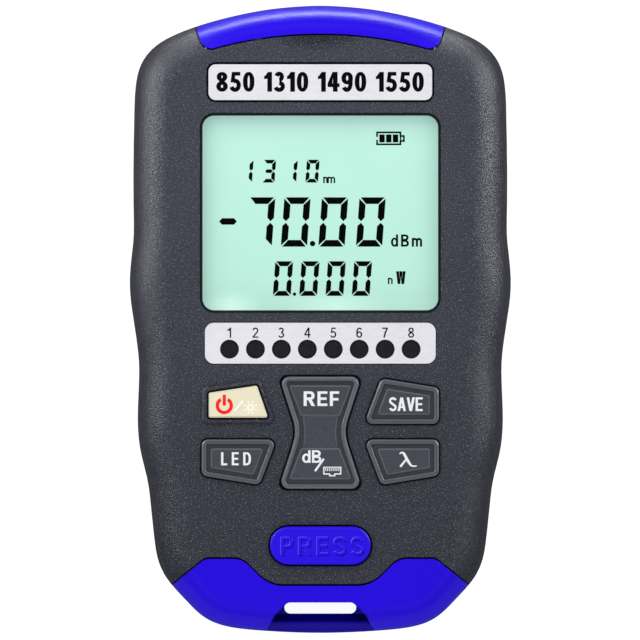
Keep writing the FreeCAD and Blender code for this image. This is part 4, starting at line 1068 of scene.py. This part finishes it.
# power key: red power sign, stroke, sun
ZP = (29.08, 29.135)
cx, cy, ro, ri = -18.50, -16.62, 1.66, 1.02
arc = []
for k, r in ((0, ro), (1, ri)):
    pts = [(cx + r * math.sin(a), cy + r * math.cos(a))
           for a in (math.radians(30 + 300 * i / 40) for i in range(41))]
    arc += pts if k == 0 else pts[::-1]
bm = bmesh.new()
slab(bm, arc, *ZP)
slab(bm, rect(cx - 0.30, cx + 0.30, -16.62, -14.52, 0.08), *ZP)
add_mesh("legend_power", bm, "power", M_PRINT_R)
bm = bmesh.new()
slab(bm, stroke([(-16.60, -17.72), (-14.90, -15.68)], 0.36), *ZP)
cx, cy = -13.45, -17.00
slab(bm, disc(cx, cy, 0.70, 32), *ZP, holes=disc(cx, cy, 0.38, 32))
for i in range(8):
    a = math.radians(22.5 + 45 * i)
    u = (math.cos(a), math.sin(a))
    slab(bm, stroke([(cx + 0.86 * u[0], cy + 0.86 * u[1]),
                     (cx + 1.34 * u[0], cy + 1.34 * u[1])], 0.27), *ZP)
add_mesh("legend_light", bm, "power", M_PRINT_C)

# raised word on the release button, over a dark copy set down and right as
# painted shadow and a light copy set up and left as painted highlight
for name, dx, dy, z1, mat in (
        ("button_word_painted_shadow", 0.10, -0.10, 29.40,
         moulded("blue_word_painted_shadow", shade(BLUE, 0.38), rough=0.45, grain=0.3,
                 depth=0.003, vary=0.05, level=0.1)),
        ("button_word_painted_highlight", -0.09, 0.08, 29.42,
         moulded("blue_word_painted_highlight", rgb(112, 100, 253), rough=0.45, grain=0.3,
                 depth=0.003, vary=0.05, level=0.1)),
        ("button_word", 0.0, 0.0, 29.52, M_BLUE_BTN)):
    word(name, "PRESS", (-7.58 + dx, 8.40 + dx, -45.50 + dy, -41.98 + dy),
         29.34, z1, "release_button", mat, "press_button", stem=0.165,
         bar=0.145, widen=1.04, edge=0.05 if not dx else 0.0)

# ------------------------------------------------------------ port end
# adapter thread, M8 x 0.75
bm = bmesh.new()
prof = []
y = 50.3
while y < 55.6:
    prof += [(4.0, y), (4.0, y + 0.14), (4.24, y + 0.33), (4.24, y + 0.42)]
    y += 0.75
prof += [(4.0, 55.9), (3.9, 55.9), (3.9, 50.3)]
seg = 64
ring_pts = []
for r, yy in prof:
    row = []
    for i in range(seg):
        a = 2 * math.pi * i / seg
        lead = 0.75 * i / seg if 50.4 < yy < 55.5 and r > 3.95 else 0.0
        row.append(bm.verts.new(((-13.0 + r * math.cos(a)) * MM,
                                 min(yy + lead * 0.0, 55.9) * MM,
                                 (14.5 + r * math.sin(a)) * MM)))
    ring_pts.append(row)
for j in range(len(ring_pts)):
    a, b = ring_pts[j], ring_pts[(j + 1) % len(ring_pts)]
    for i in range(seg):
        k = (i + 1) % seg
        bm.faces.new((a[i], a[k], b[k], b[i]))
add_mesh("adapter_thread", bm, "casing", M_NICKEL,
         smooth=30)

# ------------------------------------------------------- floor and lights
bm = bmesh.new()
n = 48
for j in range(n + 1):
    for i in range(n + 1):
        bm.verts.new(((i / n - 0.5) * 5.0, (j / n - 0.5) * 5.0, -0.00002))
bm.verts.ensure_lookup_table()
for j in range(n):
    for i in range(n):
        a = j * (n + 1) + i
        bm.faces.new((bm.verts[a], bm.verts[a + 1], bm.verts[a + n + 2],
                      bm.verts[a + n + 1]))
me = bpy.data.meshes.new("floor")
bm.to_mesh(me)
bm.free()
floor = bpy.data.objects.new("floor", me)
bpy.context.scene.collection.objects.link(floor)
m = Mat("pale_floor")
nz = m.noise(40.0, 3.0)
c = m.mix(m.span(nz, 0.3, 0.7), (0.27, 0.27, 0.272, 1), (0.29, 0.29, 0.292, 1))
m.put("Base Color", c)
m.put("Roughness", m.span(nz, 0.3, 0.7, 0.85, 0.95))
m.put("Specular IOR Level", 0.0)
m.put("Emission Color", (1.0, 1.0, 1.0, 1.0))
m.put("Emission Strength", 0.94)
me.materials.append(m.m)
floor.visible_glossy = False


def softbox(name, at, size, radiance, aim=(0, 0, 0.02), kind="both"):
    """Rectangular light at a place, facing the object; kind says whether it
    gives the broad light, the highlights or both."""
    d = bpy.data.lights.new(name, "AREA")
    d.shape = "RECTANGLE"
    d.size, d.size_y = size
    d.energy = radiance * math.pi * size[0] * size[1]
    o = bpy.data.objects.new(name, d)
    bpy.context.scene.collection.objects.link(o)
    o.location = at
    o.rotation_mode = "QUATERNION"
    o.rotation_quaternion = (Vector(aim) - Vector(at)).to_track_quat("-Z",
                                                                     "Y")
    o.visible_camera = False
    o.visible_diffuse = kind != "gloss"
    o.visible_glossy = kind != "broad"
    return o


softbox("key", (-0.08, 0.20, 0.27), (0.34, 0.34), 0.95, kind="broad")
for side, x in (("left", -0.20), ("right", 0.20)):
    softbox("strip_" + side, (x, 0.140, 0.036), (0.260, 0.019), 88,
            aim=(0, 0.140, 0.02), kind="gloss")
softbox("strip_top", (0.0, 0.088, 0.0035), (0.09, 0.006), 32,
        aim=(0, 0.058, 0.018), kind="gloss")

# dome of soft light: brightest at half height, low at the horizon
world = bpy.data.worlds.new("studio")
bpy.context.scene.world = world
world.use_nodes = True
wt = world.node_tree
bg = wt.nodes["Background"]
where = wt.nodes.new("ShaderNodeTexCoord")
part_ = wt.nodes.new("ShaderNodeSeparateXYZ")
ramp = wt.nodes.new("ShaderNodeValToRGB")
wt.links.new(where.outputs["Generated"], part_.inputs[0])
wt.links.new(part_.outputs["Z"], ramp.inputs["Fac"])
wt.links.new(ramp.outputs["Color"], bg.inputs["Color"])
steps = [(0.0, 0.06), (0.20, 0.10), (0.48, 1.0), (0.82, 1.0), (0.95, 0.45)]
els = ramp.color_ramp.elements
while len(els) < len(steps):
    els.new(0.5)
for e, (at, v) in zip(els, steps):
    e.position = at
    e.color = (v * 0.985, v * 0.99, v, 1)
bg.inputs["Strength"].default_value = 1.15

cam_data = bpy.data.cameras.new("camera")
cam = bpy.data.objects.new("camera", cam_data)
bpy.context.scene.collection.objects.link(cam)
cam.location = (-0.00006, -0.00013, 5.0)
cam.rotation_euler = (0, 0, 0)
cam_data.sensor_width = 36.0
cam_data.lens = 1451.3
cam_data.clip_start, cam_data.clip_end = 0.1, 20.0
bpy.context.scene.camera = cam
bpy.context.scene.view_settings.view_transform = "Standard"

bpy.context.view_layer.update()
# the release button's spring: its bounds are read and it gets a mesh of its
# own
low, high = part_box("press_spring")
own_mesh(NODES["press_spring"])
